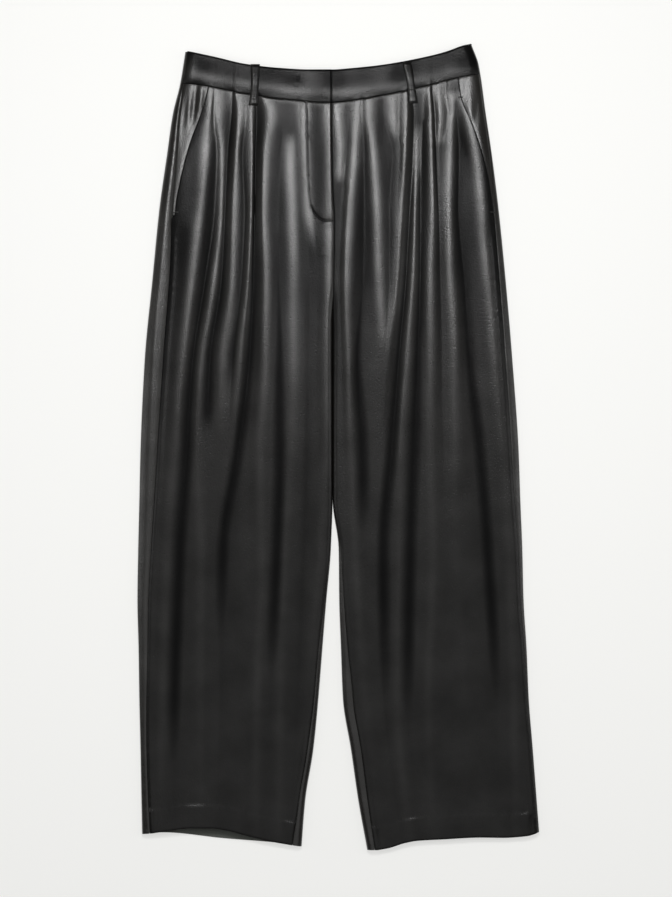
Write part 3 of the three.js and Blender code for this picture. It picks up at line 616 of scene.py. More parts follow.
def lattice_between(section, ends, gaps, shares):
    """Places across of a piece's columns: at shares of the length that runs over the folds from
    the first of its two ends to the second, each drawn in by its gap."""
    runs = read_rows(section["off"], section["run"], ends) + np.array([gaps[0], -gaps[1]])
    return read_rows(section["run"], section["across"], mix(runs[:, :1], runs[:, 1:], shares))


def settle(levels, across, shares, upper, lower):
    """Finds each grid point's place: its level lies a share of the way between two edges, read at
    the place across where the column runs at that level, by repeated steps."""
    columns = []
    for column in across.T:
        down = np.full(len(shares), levels.mean())
        for _ in range(8):
            place = np.interp(down, levels, column)
            down = mix(upper(place), lower(place), shares)
        columns.append((np.interp(down, levels, column), down))
    return np.stack([c[0] for c in columns], 1), np.stack([c[1] for c in columns], 1)


def below_waist(across):
    """The edge just below the waist seam."""
    return waist_seam(across) + SEAM_GAP / 2


def above_waist(across):
    """The edge just above the waist seam."""
    return waist_seam(across) - SEAM_GAP / 2


def graded(*stretches):
    """Shares from 0 to 1 whose steps follow (length, step) stretches."""
    parts = [np.full(max(1, round(length / step)), step) for length, step in stretches]
    edges = np.concatenate([[0.0], np.cumsum(np.concatenate(parts))])
    return edges / edges[-1]


# Levels where the front's sections are worked out, and the shares of its rows and columns
PANEL_LEVELS = np.arange(25.0, 1056.0, 2.5)
PANEL_SHARES = graded((10, 1.2), (310, 2.3), (590, 5.2), (45, 2.0), (6, 1.2))
ACROSS_SHARES = graded((6, 0.6), (12, 1.2), (214, 1.62), (12, 1.2), (6, 0.6))


def placed(across, down, height):
    """Points in metres in the frame, from places across, levels down and heights."""
    return np.stack(np.broadcast_arrays(across - MIDDLE_ACROSS, MIDDLE_DOWN - down, height), axis=-1) * MM


def grid_normals(points):
    """Unit normals of a grid of points, from the cross product of its two directions."""
    rows, columns = np.gradient(points, axis=0), np.gradient(points, axis=1)
    normals = np.cross(rows, columns)
    return normals / np.maximum(np.linalg.norm(normals, axis=-1, keepdims=True), 1e-12)


def grid_faces(rows, columns, start=0):
    """The quads of a grid of vertices, as four index columns."""
    index = start + np.arange(rows * columns).reshape(rows, columns)
    return np.stack([index[:-1, :-1], index[1:, :-1], index[1:, 1:], index[:-1, 1:]], -1).reshape(-1, 4)


def rim_faces(rows, columns):
    """The quads that join a grid to its copy, round the four edges."""
    index = np.arange(rows * columns).reshape(rows, columns)
    loop = np.concatenate([index[0, :-1], index[:-1, -1], index[-1, :0:-1], index[:0:-1, 0]])
    after = np.roll(loop, -1)
    return np.stack([loop, after, after + rows * columns, loop + rows * columns], -1)


def make_object(name, vertices, faces, looks, face_looks=None, smooth=True):
    """A new mesh object at the origin from arrays of vertices and quads, with its materials."""
    mesh = bpy.data.meshes.new(name)
    mesh.vertices.add(len(vertices))
    mesh.vertices.foreach_set("co", np.asarray(vertices, np.float32).ravel())
    mesh.loops.add(faces.size)
    mesh.loops.foreach_set("vertex_index", faces.astype(np.int32).ravel())
    mesh.polygons.add(len(faces))
    mesh.polygons.foreach_set("loop_start", np.arange(0, faces.size, faces.shape[1], dtype=np.int32))
    for look in looks:
        mesh.materials.append(look)
    if face_looks is not None:
        mesh.polygons.foreach_set("material_index", face_looks.astype(np.int32))
    mesh.update(calc_edges=True)
    if smooth:
        mesh.shade_smooth()
        mesh.set_sharp_from_angle(angle=math.radians(SHARP_ANGLE))
    piece = bpy.data.objects.new(name, mesh)
    bpy.context.scene.collection.objects.link(piece)
    return piece


def volume_of(vertices, faces):
    """Signed volume of a closed mesh of quads: the sum over its triangles of a triple product."""
    total = 0.0
    for corners in ((0, 1, 2), (0, 2, 3)):
        a, b, c = (vertices[faces[:, i]] for i in corners)
        total += np.einsum("ij,ij->i", a, np.cross(b, c)).sum() / 6
    return total


def shell(name, outer, thickness, looks, inward=None, shade=None):
    """A closed wall of cloth: a grid of outer points, the same points moved inwards by the
    thickness along the given directions, or straight down, and a rim. The outer faces take the
    first look, the rest the second."""
    rows, columns = outer.shape[:2]
    if inward is None:
        inward = np.broadcast_to(np.array([0.0, 0.0, -1.0]), outer.shape)
    inner = outer + inward * (np.asarray(thickness) * MM)
    vertices = np.concatenate([outer.reshape(-1, 3), inner.reshape(-1, 3)])
    front = grid_faces(rows, columns)
    back = grid_faces(rows, columns, rows * columns)[:, ::-1]
    rim = rim_faces(rows, columns)
    faces = np.concatenate([front, back, rim])
    if volume_of(vertices, faces) < 0:
        faces = faces[:, ::-1]
    face_looks = np.concatenate([np.zeros(len(front)), np.ones(len(back)), np.zeros(len(rim))])
    piece = make_object(name, vertices, faces, looks, face_looks)
    # The shade attribute carries painted shade and painted highlights to the material
    if shade is not None:
        attribute = piece.data.attributes.new("shade", "FLOAT", "POINT")
        attribute.data.foreach_set("value", np.tile(shade.ravel(), 2).astype(np.float32))
    return piece


def finish_piece(piece, slot, *nodes):
    """Rides a piece on the trousers' one body, in place of its solids. The slot argument is not used."""
    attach(piece, "root")
    if nodes:
        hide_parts(*nodes)


def srgb(text):
    """Linear red, green, blue and alpha of an sRGB hex colour."""
    values = [int(text[i:i + 2], 16) / 255 for i in (1, 3, 5)]
    return [v / 12.92 if v <= 0.04045 else ((v + 0.055) / 1.055) ** 2.4 for v in values] + [1.0]


def add_node(tree, kind, settings=None, links=None):
    """Adds a node, sets its properties and sockets, and links its inputs from other nodes' outputs."""
    node = tree.nodes.new(kind)
    for key, value in (settings or {}).items():
        if isinstance(key, str) and hasattr(node, key):
            setattr(node, key, value)
        else:
            node.inputs[key].default_value = value
    for key, source in (links or {}).items():
        tree.links.new(source, node.inputs[key])
    return node


def new_material(name):
    """An empty material and its node tree."""
    material = bpy.data.materials.new(name)
    material.use_nodes = True
    material.node_tree.nodes.clear()
    return material, material.node_tree


def texture_place(tree):
    """A place on the piece, which the textures are drawn by."""
    return add_node(tree, "ShaderNodeTexCoord").outputs["Object"]


def specks(tree, place, width, settings=None):
    """Soft specks about width millimetres wide, as a share from 0 to 1."""
    settings = {"Scale": 1 / (width * MM), **(settings or {})}
    return add_node(tree, "ShaderNodeTexNoise", settings, {"Vector": place}).outputs["Fac"]


def tone_between(tree, share, dark, light):
    """A colour a share of the way between two sRGB hex ones."""
    colours = {"data_type": "RGBA", 6: srgb(dark), 7: srgb(light)}
    return add_node(tree, "ShaderNodeMix", colours, {0: share}).outputs[2]


def value_between(tree, share, low, high):
    """A number a share of the way from low to high."""
    between = add_node(tree, "ShaderNodeMapRange", {"To Min": low, "To Max": high}, {"Value": share})
    return between.outputs["Result"]


def with_surface(material, settings, links):
    """The material, its tree ended with a principled surface."""
    surface = add_node(material.node_tree, "ShaderNodeBsdfPrincipled", settings, links)
    add_node(material.node_tree, "ShaderNodeOutputMaterial", None, {"Surface": surface.outputs["BSDF"]})
    return material


def coated_leather():
    """Polyurethane-coated cloth with an embossed calf grain: near black, a soft satin that breaks up
    into a fine sparkle where it turns to the light. The grain is about 0.5 mm wide on the real one
    and drawn 1.1 mm wide, because finer would not show in the render. The pieces' shade attribute
    paints shade: from 0 on a crest, whose full sheen is a painted highlight, to 1 in a hollow, darker and
    dull."""
    finish = bpy.context.scene.trousers_leather
    material, tree = new_material("coated_leather_calf_grain")
    place = texture_place(tree)
    grain = add_node(tree, "ShaderNodeTexVoronoi", {"Scale": 1 / (GRAIN_WIDTH * MM), "Randomness": 1.0},
                     {"Vector": place})
    fine = specks(tree, place, FINE_GRAIN_WIDTH, {"Detail": 3.0, "Roughness": 0.6})
    cloud = specks(tree, place, CLOUD_WIDTH, {"Detail": 5.0})
    tone = tone_between(tree, cloud, "#100f0d", "#191714")
    smoothest = finish.roughness - ROUGHNESS_SPREAD
    roughness = value_between(tree, fine, smoothest, finish.roughness + ROUGHNESS_SPREAD)
    creases = add_node(tree, "ShaderNodeBump", {"Strength": 0.5, "Distance": GRAIN_RELIEF},
                       {"Height": grain.outputs["Distance"]})
    relief = add_node(tree, "ShaderNodeBump", {"Strength": 0.6, "Distance": FINE_GRAIN_RELIEF},
                      {"Height": fine, "Normal": creases.outputs["Normal"]})
    # Painted shade: the shade attribute darkens the base colour towards #0b0b0b and takes the sheen away,
    # most in the hollows
    shade = add_node(tree, "ShaderNodeAttribute", {"attribute_name": "shade"}).outputs["Fac"]
    painted_shade_tone = add_node(tree, "ShaderNodeMix", {"data_type": "RGBA", 7: srgb("#0b0b0b")}, {0: shade, 6: tone})
    sheen = value_between(tree, shade, finish.sheen, finish.sheen * HOLLOW_SHEEN)
    wear = value_between(tree, cloud, *WEAR_RANGE)
    mottled = add_node(tree, "ShaderNodeMath", {"operation": "MULTIPLY"}, {0: sheen, 1: wear})
    return with_surface(material, {"IOR": 1.5}, {
        "Specular IOR Level": mottled.outputs["Value"], "Base Color": painted_shade_tone.outputs[2],
        "Roughness": roughness, "Normal": relief.outputs["Normal"]})


def knit_backing():
    """The cloth's knitted polyester back: matt dark grey with fine loops, 0.9 mm apart."""
    material, tree = new_material("knitted_polyester_backing")
    loops = specks(tree, texture_place(tree), KNIT_LOOP_WIDTH, {"Detail": 2.0})
    tone = tone_between(tree, loops, "#3a3c39", "#5d605a")
    relief = add_node(tree, "ShaderNodeBump", {"Strength": 0.6, "Distance": KNIT_RELIEF}, {"Height": loops})
    return with_surface(material, {"Roughness": 0.9, "Sheen Weight": 0.2},
                        {"Base Color": tone, "Normal": relief.outputs["Normal"]})


def sewing_thread():
    """Spun polyester thread: black, matt, with a 0.4 mm twist."""
    material, tree = new_material("spun_polyester_thread")
    tone = tone_between(tree, specks(tree, texture_place(tree), THREAD_TWIST_WIDTH), "#121211", "#2a2928")
    return with_surface(material, {"Roughness": 0.7}, {"Base Color": tone})


def look(name):
    """A finish by its name, made once."""
    makers = {
        "coated_leather_calf_grain": coated_leather,
        "knitted_polyester_backing": knit_backing,
        "spun_polyester_thread": sewing_thread,
    }
    return bpy.data.materials.get(name) or makers[name]()


def cloth_looks():
    """The two faces of the cloth."""
    return [look("coated_leather_calf_grain"), look("knitted_polyester_backing")]


class TrousersCloth(bpy.types.PropertyGroup):
    """Sizes of the cloth"""
    wall: bpy.props.FloatProperty(name="Cloth", description="Thickness of the leather cloth, in millimetres",
                                  default=1.2, min=0.5, max=3.0)
    band: bpy.props.FloatProperty(name="Waistband", description="Thickness of the waistband, in millimetres",
                                  default=2.2, min=1.0, max=4.0)
    stitch: bpy.props.FloatProperty(name="Stitch", description="Length of one stitch, in millimetres",
                                    default=2.6, min=1.0, max=6.0)


class TrousersLeather(bpy.types.PropertyGroup):
    """Finish of the leather cloth"""
    roughness: bpy.props.FloatProperty(name="Roughness", description="How matt the coating is",
                                       default=0.29, min=0.1, max=1.0, subtype="FACTOR")
    sheen: bpy.props.FloatProperty(name="Sheen", description="How strongly the coating mirrors the lights",
                                   default=0.45, min=0.0, max=1.0, subtype="FACTOR")


class TrousersStage(bpy.types.PropertyGroup):
    """Floor, lights and camera"""
    camera_height: bpy.props.FloatProperty(
        name="Camera height", description="Height of the camera over the surface",
        default=4.0, min=1.0, max=20.0, unit="LENGTH")
    view_height: bpy.props.FloatProperty(
        name="View height", description="Length of surface that the picture shows, top to bottom",
        default=1.166, min=0.2, max=5.0, unit="LENGTH")


class TROUSERS_OT_fronts(bpy.types.Operator):
    """Builds the two front leg panels with their pleats and folds"""
    bl_idname = "trousers.fronts"
    bl_label = "Front Panels"

    def execute(self, context):
        cloth = context.scene.trousers_cloth
        for side in SIDES:
            section = upper_sections(side, PANEL_LEVELS)
            seam = LEG[side]["side_seam"](PANEL_LEVELS)
            mouth = (pocket_mouth[side](PANEL_LEVELS) - LEG[side]["outer"](PANEL_LEVELS)) * INWARD[side]
            start = np.where(PANEL_LEVELS < MOUTH_END_DOWN, np.maximum(seam, mouth), seam)
            ends = np.stack([start, section["width"] - inseam_inset(side, PANEL_LEVELS)], 1)
            lattice = lattice_between(section, ends, (SEAM_GAP / 2, SEAM_GAP / 2), ACROSS_SHARES)
            across, down = settle(PANEL_LEVELS, lattice, PANEL_SHARES, below_waist, hem_front[side])
            points = placed(across, down, front_height(side, across, down))
            # Painted shade in the hollows and painted highlights on the crests, fading to nothing at the
            # waist seam
            shade = fold_shade(side, across, down) * ease(-8, 8, down - waist_seam(across))
            if side == "right":
                # Painted shade along the fly's stitch line
                line = signed_distance(J_PATH, across, down)
                shade = np.clip(shade + STITCH_PAINTED_SHADE * bump(line, STITCH_PAINTED_SHADE_WIDTH), 0, 1)
            piece = shell(f"leather_front_{side}", points, cloth.wall, cloth_looks(), shade=shade)
            finish_piece(piece, "leather", f"front_{side}")
        return {"FINISHED"}


class TROUSERS_OT_backs(bpy.types.Operator):
    """Builds the two back leg panels, flat underneath and curled round the leg's edges"""
    bl_idname = "trousers.backs"
    bl_label = "Back Panels"

    def execute(self, context):
        cloth = context.scene.trousers_cloth
        levels = np.arange(25.0, 1056.0, 5.0)
        turn = np.linspace(0, math.pi / 2, 8)
        for side in SIDES:
            stretches = self.stretches(side, levels, (1 - np.cos(turn)) * EDGE_CORNER * INWARD[side])
            shares = graded((320, 4.0), (600, 7.0), (40, 2.6))
            lattice = np.concatenate(stretches, axis=1)
            across, down = settle(levels, lattice, shares, below_waist, hem_back[side])
            edges = np.cumsum([0] + [stretch.shape[1] for stretch in stretches])
            columns = [slice(first, last) for first, last in zip(edges, edges[1:])]
            points = placed(across, down, self.heights(side, across, down, columns, turn))
            inward = grid_normals(points) * INWARD[side]
            on_floor = points[..., 2] < cloth.wall * MM
            inward[..., 2] = np.where(on_floor, np.abs(inward[..., 2]), inward[..., 2])
            piece = shell(f"leather_back_{side}", points, cloth.wall, cloth_looks(), inward)
            finish_piece(piece, "leather", f"back_{side}")
        return {"FINISHED"}

    @staticmethod
    def stretches(side, levels, corner):
        """Places across of the panel's columns, in five stretches: from the side seam over to the
        outer edge, round that corner, along the floor, round the inner corner and up to the inseam.
        Above the crotch the last stretch follows the front's lapped edge instead."""
        section = upper_sections(side, levels)
        ends = np.stack([LEG[side]["side_seam"](levels), section["width"] - inseam_inset(side, levels)], 1)
        runs = read_rows(section["off"], section["run"], ends)
        from_seam = mix(runs[:, :1] - SEAM_GAP / 2, 0, 1 - (1 - np.linspace(0, 1, 16)) ** 1.5)
        wrap = read_rows(section["run"], section["across"], from_seam)
        last = section["run"][:, -1:]
        to_inseam = mix(last, np.minimum(runs[:, 1:] + SEAM_GAP / 2, last), np.linspace(0, 1, 12)[1:] ** 1.5)
        tail = read_rows(section["run"], section["across"], to_inseam)
        outer, inner = (LEG[side][line](levels)[:, None] for line in ("outer", "inner"))
        floor = mix(outer + corner[-1], inner - corner[-1], np.linspace(0, 1, 34)[1:-1])
        return wrap, outer + corner[1:], floor, inner - corner[::-1], tail

    def heights(self, side, across, down, columns, turn):
        """Height of each point of the panel, stretch by stretch, with shallow creases on the floor's."""
        wrap, outer_corner, floor, inner_corner, tail = columns
        rest = back_rest(down)
        height = np.array(rest)
        height[:, wrap] = self.edge(side, across[:, wrap], down[:, wrap])
        height[:, outer_corner] = mix(EDGE_HEIGHT, rest[:, outer_corner], np.sin(turn[1:]))
        closed = ease(CROTCH_DOWN - 45, CROTCH_DOWN, down[:, inner_corner])
        top = mix(rest[:, inner_corner], EDGE_HEIGHT - SEAM_GAP, closed)
        height[:, inner_corner] = mix(top, rest[:, inner_corner], np.sin(turn[::-1]))
        lifted = self.inseam_edge(side, across[:, tail], down[:, tail])
        step_in = 0.02 * ease(CROTCH_DOWN + 60, CROTCH_DOWN + 330, down[:, tail])
        pressed = height[:, inner_corner][:, -1:] + step_in
        height[:, tail] = np.where(down[:, tail] > 600, lifted, pressed)
        crease = BACK_CREASE * np.clip(waves(across, down, 46, 300, seed=41), 0, 1)
        crease *= ease(80, 140, down) * ease(0, 40, hem_back[side](across) - down)
        height[:, floor] += crease[:, floor]
        return height

    @staticmethod
    def edge(side, across, down):
        """The stretch from the side seam to the leg's outer edge, with its seam roll."""
        seam = (side_seam(side, down) - across) * INWARD[side]
        pucker = 0.14 * waves(down, across, 13, 40, seed=8) * bump(seam, 9)
        return upper_height(side, across, down) + seam_roll(seam) + pucker

    @staticmethod
    def inseam_edge(side, across, down):
        """The stretch from the leg's inner edge to the inseam, with its seam roll."""
        seam = inseam_inset(side, down) - (inner_front(side, down) - across) * INWARD[side]
        return upper_height(side, across, down) + legs_apart(down) * seam_roll(seam)


class TROUSERS_OT_pockets(bpy.types.Operator):
    """Builds the pieces behind the slanted pocket mouths"""
    bl_idname = "trousers.pockets"
    bl_label = "Pocket Facings"

    def execute(self, context):
        cloth = context.scene.trousers_cloth
        levels = np.arange(25.0, 260.0, 2.0)
        for side in SIDES:
            section = upper_sections(side, levels)
            seam = LEG[side]["side_seam"](levels)
            mouth = (pocket_mouth[side](levels) - LEG[side]["outer"](levels)) * INWARD[side]
            ends = np.stack([seam, np.maximum(mouth, seam) + FACING_UNDERLAP], 1)
            lattice = lattice_between(section, ends, (SEAM_GAP, 0), np.linspace(0, 1, 44))
            across, down = settle(levels, lattice, np.linspace(0, 1, 110), below_waist,
                                  lambda place: np.full(np.shape(place), FACING_END_DOWN))
            points = placed(across, down, facing_height(side, across, down))
            piece = shell(f"leather_pocket_facing_{side}", points, cloth.wall, cloth_looks())
            finish_piece(piece, "leather", f"pocket_facing_{side}")
        return {"FINISHED"}


def back_top(across):
    """The back waistband's top edge: 1.2 mm below the front's, and 1.5 mm above it by the left side."""
    return waist_top(across) + mix(1.2, -1.5, ease(110, 150, across))


def band_share(across, down):
    """How far down the waistband a place lies, 0 at its top edge, 1 at the waist seam."""
    top = waist_top(across)
    return (down - top) / (waist_seam(across) - top)


def band_height(side, across, down):
    """A front waistband half: the upper side, standing proud, crowned low down between rolled edges."""
    share = np.clip(band_share(across, down), 0, 1)
    height = upper_height(side, across, down) + BAND_PROUD
    height += 1.2 * np.sin(math.pi * share ** 1.6) - 0.6
    height += seam_roll(down - waist_top(across), 0.9, 1.2) + seam_roll(waist_seam(across) - down, 0.3, 1.0)
    height += 0.3 * waves(across, down, 70, 60, seed=17)
    end = (lap_edge(down) - across) * INWARD[side]
    if side == "right":
        height += FLY_STEP * (1 - ease(0, FLY_RUNOUT, end))
        # A short line and a dimple, as if the hook behind pressed through
        mark = bump(across + 44.8, 1.3) * (1 - ease(2.5, 5.5, np.abs(down - 43.5)))
        height -= 0.5 * mark + 0.3 * bump(np.hypot(across + 47.3, down - 53.3), 2.2)
    return height + seam_roll(end, 0.4, 0.9)


def band_shade(across, down):
    """The waistband's painted shade: dark all over, with a painted highlight as a streak low down, lower
    still towards the left end, and another as a patch by the right side seam."""
    # Painted shade of 0.93 all over, less under the painted highlights
    band_highlight_streak = bump(band_share(across, down) - mix(0.7, 0.86, ease(-60, 160, across)), 0.17)
    band_highlight_patch = bump(across + 190, 9) * bump(band_share(across, down) - 0.5, 0.45)
    unevenness = 0.12 * waves(across, down, 60, 40, seed=29)
    return np.clip(0.93 - 0.3 * band_highlight_streak - 0.6 * band_highlight_patch + unevenness, 0, 1)


class TROUSERS_OT_waistband(bpy.types.Operator):
    """Builds the waistband: two front halves and the back that curls round both sides"""
    bl_idname = "trousers.waistband"
    bl_label = "Waistband"

    def execute(self, context):
        cloth = context.scene.trousers_cloth
        levels = np.arange(-10.0, 90.0, 1.0)
        for side in SIDES:
            section = upper_sections(side, levels)
            ends = np.stack([LEG[side]["side_seam"](levels), section["width"]], 1)
            shares = graded((5, 0.6), (182, 1.3), (5, 0.6))
            lattice = lattice_between(section, ends, (SEAM_GAP / 2, 0), shares)
            rows = graded((4, 0.6), (36, 1.3), (3, 0.6))
            across, down = settle(levels, lattice, rows, waist_top, above_waist)
            points = placed(across, down, band_height(side, across, down))
            # Painted shade over the waistband half, with painted highlights
            shade = band_shade(across, down)
            piece = shell(f"leather_waistband_front_{side}", points, cloth.band, cloth_looks(), shade=shade)
            finish_piece(piece, "waistband_leather", f"waistband_front_{side}")
        self.back(cloth, levels)
        return {"FINISHED"}

    @staticmethod
    def back(cloth, levels):
        """The back waistband: round the right edge, along the surface and round the left edge."""
        wraps = 8
        turn = np.linspace(0, math.pi / 2, 8)[1:]
        rounds = {}
        for side in SIDES:
            section = upper_sections(side, levels)
            outer, seam = (LEG[side][line](levels)[:, None] for line in ("outer", "side_seam"))
            run = read_rows(section["off"], section["run"], seam) - SEAM_GAP / 2
            wrap = read_rows(section["run"], section["across"], mix(run, 0, np.linspace(0, 1, wraps)))
            corner = outer + (1 - np.cos(turn)) * EDGE_CORNER * INWARD[side]
            rounds[side] = np.concatenate([wrap, corner], axis=1)
        floor = mix(rounds["right"][:, -1:], rounds["left"][:, -1:], np.linspace(0, 1, 90)[1:-1])
        lattice = np.concatenate([rounds["right"], floor, rounds["left"][:, ::-1]], axis=1)
        across, down = settle(levels, lattice, graded((4, 0.8), (36, 1.8), (3, 0.8)), back_top, above_waist)
        rest = back_rest(down)
        height = np.array(rest)
        count = wraps + len(turn)
        for side, columns in (("right", slice(0, count)), ("left", slice(-1, -count - 1, -1))):
            wrapped = upper_height(side, across[:, columns], down[:, columns]) + BAND_PROUD / 2
            drop = mix(EDGE_HEIGHT, rest[:, columns][:, wraps:], np.sin(turn))
            height[:, columns] = np.concatenate([wrapped[:, :wraps], drop], axis=1)
        edge = np.minimum(down - back_top(across), waist_seam(across) - down)
        height[:, count:-count] += 0.5 * bump(np.maximum(edge, 0), 1.0)[:, count:-count]
        points = placed(across, down, height)
        piece = shell("leather_waistband_back", points, cloth.band, cloth_looks(), grid_normals(points))
        finish_piece(piece, "waistband_leather", "waistband_back")


def loop_outline(share):
    """A belt loop's half width along it: wider at its sewn ends."""
    return mix(6.2, 5.0, np.sin(math.pi * share))


class TROUSERS_OT_belt_loops(bpy.types.Operator):
    """Builds the belt loops: two on the front, three flat under the back"""
    bl_idname = "trousers.belt_loops"
    bl_label = "Belt Loops"

    def execute(self, context):
        share = np.linspace(0, 1, 60)[:, None]
        width = np.linspace(-1, 1, 15)[None, :]
        crown = np.sqrt(np.clip(1 - np.abs(width) ** 3, 0, 1))
        looks = [look("coated_leather_calf_grain")] * 2
        for side, (top_across, top_down, lean) in FRONT_LOOPS.items():
            bend = 0.8 * np.sin(math.pi * share)
            across = top_across + lean * share + bend + loop_outline(share) * width
            down = top_down - 1.5 + (LOOP_LENGTH + 1.5) * share
            over = np.max([self.under(side, across + off, down) for off in (-5.0, 0.0, 5.0)], axis=0)
            over = over.max(axis=1, keepdims=True)
            ends = ease(0, 0.07, share) * ease(0, 0.05, 1 - share)
            stand = 0.7 + 1.3 * np.sin(math.pi * np.clip(share * 1.15, 0, 1)) * ends
            height = over + stand + LOOP_THICKNESS * mix(0.35, 1, crown) - 0.9 * (1 - ends)
            height = height - 0.25 * bump(np.abs(width) - 0.72, 0.08)
            # Painted shade over the front loop, lifted by a painted highlight along one long edge
            shade = np.broadcast_to(0.75 - 0.6 * bump(width + 0.55, 0.25), across.shape)
            points = placed(across, down, height)
            piece = shell(f"leather_belt_loop_front_{side}", points, FRONT_LOOP_WALL, looks, shade=shade)
            finish_piece(piece, "waistband_leather", f"belt_loop_front_{side}")
        for name, (middle, top_down) in BACK_LOOPS.items():
            across = middle + loop_outline(share) * width
            height = BACK_LOOP_TOP - 0.25 * (1 - crown)
            points = placed(across, top_down + LOOP_LENGTH * share, height)
            piece = shell(f"leather_{name}", points, BACK_LOOP_WALL, looks)
            finish_piece(piece, "waistband_leather", name)
        return {"FINISHED"}

    @staticmethod
    def under(side, across, down):
        """What a front loop lies on: the waistband, and the front panel below it."""
        on_band = down < waist_seam(across)
        return np.where(on_band, band_height(side, across, down), front_height(side, across, down))


def stitches(name, centres, along, up, length, radius, looks):
    """A run of stitches as one mesh: each is a capsule bent into an arch, its ends sunk in the cloth.

    Centres, directions along and up are arrays of three columns; lengths in metres.
    """
    turn = np.linspace(0, 2 * math.pi, 7)[:-1]
    share = np.linspace(-1, 1, 7)
    ring = radius * np.sqrt(np.clip(1 - np.abs(share) ** 4, 0.02, 1))
    side = np.cross(along, up)
    middle = centres[:, None, :] + along[:, None, :] * (share * length / 2)[None, :, None]
    middle = middle + up[:, None, :] * ((0.5 - 1.3 * share ** 2) * radius)[None, :, None]
    around = (np.cos(turn)[:, None] * side[:, None, None, :] + np.sin(turn)[:, None] * up[:, None, None, :])
    vertices = middle[:, :, None, :] + ring[None, :, None, None] * around
    count, rings, sides = vertices.shape[:3]
    index = np.arange(count * rings * sides).reshape(count, rings, sides)
    after = np.roll(index, -1, axis=2)
    walls = np.stack([index[:, :-1], after[:, :-1], after[:, 1:], index[:, 1:]], -1).reshape(-1, 4)
    caps = np.concatenate([index[:, 0, [0, 1, 2, 3]], index[:, 0, [0, 3, 4, 5]],
                           index[:, -1, [3, 2, 1, 0]], index[:, -1, [5, 4, 3, 0]]])
    faces = np.concatenate([walls, caps[:, ::-1]])
    vertices = vertices.reshape(-1, 3)
    if volume_of(vertices - vertices.mean(axis=0), faces) < 0:
        faces = faces[:, ::-1]
    return make_object(name, vertices, faces, looks)


def stitch_line(name, side, path, lift, pitch, length, radius=0.22, sideways=False):
    """Stitches along a path of (across, down) points, laid a little above the front panel: every
    pitch millimetres one of the given length, along the path or across it."""
    run = np.concatenate([[0], np.cumsum(np.linalg.norm(np.diff(path, axis=0), axis=1))])
    at = np.arange(pitch / 2, run[-1], pitch)
    across, down = (np.interp(at, run, path[:, i]) for i in (0, 1))
    ahead = [np.interp(at + 0.5, run, path[:, i]) - np.interp(at - 0.5, run, path[:, i]) for i in (0, 1)]
    step = np.stack(ahead, 1) / np.linalg.norm(np.stack(ahead, 1), axis=1, keepdims=True)
    if sideways:
        step = np.stack([-step[:, 1], step[:, 0]], 1)
    ends = []
    for half in (-length / 2, length / 2):
        place, level = across + step[:, 0] * half, down + step[:, 1] * half
        ends.append(placed(place, level, front_height(side, place, level) + lift))
    before, after = ends
    along = after - before
    along /= np.linalg.norm(along, axis=1, keepdims=True)
    up = np.array([0.0, 0.0, 1.0]) - along * along[:, 2:]
    up /= np.linalg.norm(up, axis=1, keepdims=True)
    centres = (before + after) / 2 + up * radius * 0.4 * MM
    return stitches(name, centres, along, up, length * MM, radius * MM, [look("spun_polyester_thread")])


class TROUSERS_OT_sewing(bpy.types.Operator):
    """Sews the fly's J-stitch, the pockets' bar tacks and the blind hems"""
    bl_idname = "trousers.sewing"
    bl_label = "Sewing"

    def execute(self, context):
        stitch = context.scene.trousers_cloth.stitch
        rows = [stitch_line("thread_fly_stitch", "right", J_PATH, lift=0.05, pitch=stitch + 0.5,
                            length=stitch)]
        for side in SIDES:
            for part, level in TACK_LEVELS[side].items():
                centre = float(pocket_mouth[side](level)) + INWARD[side] * 1.5
                bar = np.array([[centre - BAR_TACK_HALF_WIDTH, level], [centre + BAR_TACK_HALF_WIDTH, level]])
                name = f"thread_pocket_tack_{part}_{side}"
                rows.append(stitch_line(name, side, bar, lift=0.1, pitch=0.55, length=2.0, radius=0.25,
                                        sideways=True))
            across = np.linspace(*HEM_STITCH_ENDS[side], 90)
            path = np.stack([across, hem_front[side](across) - HEM_DEPTH], 1)
            rows.append(stitch_line(f"thread_blind_hem_{side}", side, path, lift=0.1, pitch=8.0, length=0.9,
                                    radius=0.12))
        for row in rows:
            finish_piece(row, "thread")
        return {"FINISHED"}


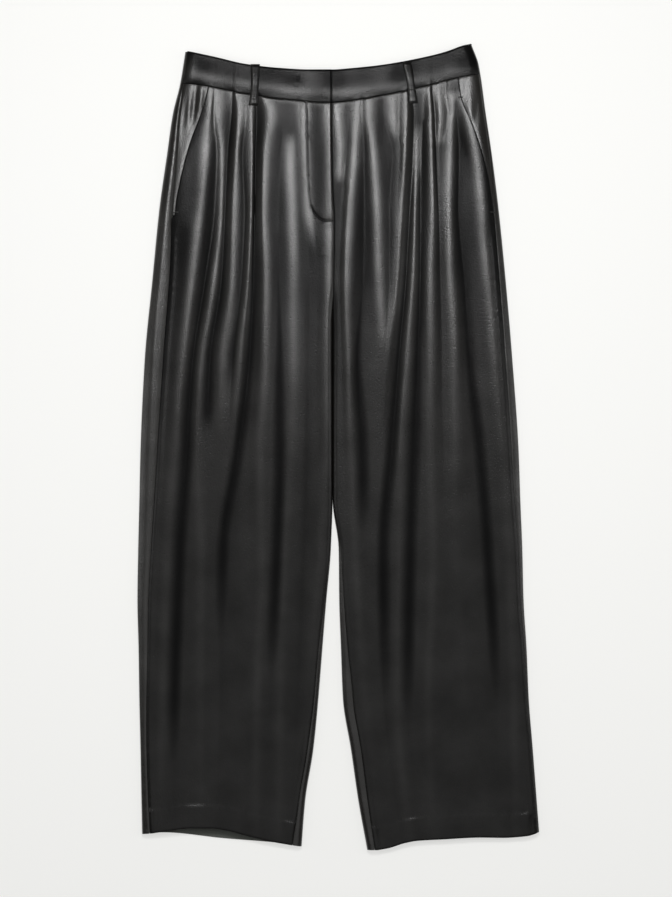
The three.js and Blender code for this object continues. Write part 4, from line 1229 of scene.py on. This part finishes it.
class TROUSERS_OT_stage(bpy.types.Operator):
    """Sets the pale floor, the soft studio light and the camera straight above"""
    bl_idname = "trousers.stage"
    bl_label = "Stage"

    def execute(self, context):
        stage = context.scene.trousers_stage
        self.floor()
        self.lights()
        scene = context.scene
        camera = bpy.data.cameras.new("camera_above")
        camera.sensor_fit = "VERTICAL"
        camera.sensor_height = 36.0
        camera.lens = camera.sensor_height * stage.camera_height / stage.view_height
        holder = bpy.data.objects.new("camera_above", camera)
        holder.location = (*PICTURE_MIDDLE, stage.camera_height)
        scene.collection.objects.link(holder)
        scene.camera = holder
        scene.view_settings.view_transform = "Standard"
        return {"FINISHED"}

    @staticmethod
    def floor():
        """A pale sheet of opal acrylic, 8 metres across, lit a little from below as on a light table."""
        signs = ((-1, -1), (1, -1), (1, 1), (-1, 1))
        corners = np.array([(x * FLOOR_HALF, y * FLOOR_HALF, -FLOOR_DROP) for x, y in signs])
        acrylic = with_surface(new_material("opal_acrylic_light_table")[0], {
            "Base Color": srgb("#a8a8a6"), "Roughness": 0.9, "Specular IOR Level": 0.1,
            "Emission Color": srgb("#f1f1ef"), "Emission Strength": 0.62}, None)
        floor = make_object("studio_floor", corners, np.array([[0, 1, 2, 3]]), [acrylic], smooth=False)

    @staticmethod
    def lights():
        """A small softbox above the waist under a wide dim scrim, and a low strip on each side."""
        world = bpy.data.worlds.new("studio_world")
        world.use_nodes = True
        background = world.node_tree.nodes["Background"]
        background.inputs["Color"].default_value = (1.0, 1.0, 1.0, 1.0)
        background.inputs["Strength"].default_value = 0.12
        bpy.context.scene.world = world
        for name, place, aim, size, power in LAMPS:
            light = bpy.data.lights.new(name, "AREA")
            light.shape = "RECTANGLE"
            light.size, light.size_y = size
            light.energy = power
            holder = bpy.data.objects.new(name, light)
            holder.location = place
            holder.rotation_euler = (Vector(aim) - holder.location).to_track_quat("-Z", "Y").to_euler()
            bpy.context.scene.collection.objects.link(holder)


class TROUSERS_PT_panel(bpy.types.Panel):
    """Lists the trousers' sizes and the steps that build them"""
    bl_idname = "TROUSERS_PT_panel"
    bl_label = "Leather Trousers"
    bl_space_type = "VIEW_3D"
    bl_region_type = "UI"
    bl_category = "Trousers"

    def draw(self, context):
        layout = self.layout
        scene = context.scene
        for group, names in ((scene.trousers_cloth, ("wall", "band", "stitch")),
                             (scene.trousers_leather, ("roughness", "sheen")),
                             (scene.trousers_stage, ("camera_height", "view_height"))):
            box = layout.box()
            for name in names:
                box.prop(group, name)
        for step in STEPS:
            layout.operator(step.bl_idname)


GROUPS = (("trousers_cloth", TrousersCloth), ("trousers_leather", TrousersLeather),
          ("trousers_stage", TrousersStage))
STEPS = (TROUSERS_OT_backs, TROUSERS_OT_pockets, TROUSERS_OT_fronts, TROUSERS_OT_waistband,
         TROUSERS_OT_belt_loops, TROUSERS_OT_sewing, TROUSERS_OT_stage)


def register():
    """Registers the property groups, the operators and the panel."""
    for name, group in GROUPS:
        bpy.utils.register_class(group)
        setattr(bpy.types.Scene, name, bpy.props.PointerProperty(type=group))
    for step in STEPS:
        bpy.utils.register_class(step)
    bpy.utils.register_class(TROUSERS_PT_panel)


def unregister():
    """Takes back what register added."""
    bpy.utils.unregister_class(TROUSERS_PT_panel)
    for step in reversed(STEPS):
        bpy.utils.unregister_class(step)
    for name, group in reversed(GROUPS):
        delattr(bpy.types.Scene, name)
        bpy.utils.unregister_class(group)


def main():
    """Builds the trousers and the stage."""
    register()
    for step in STEPS:
        family, name = step.bl_idname.split(".")
        getattr(getattr(bpy.ops, family), name)()


if __name__ == "__main__":
    main()
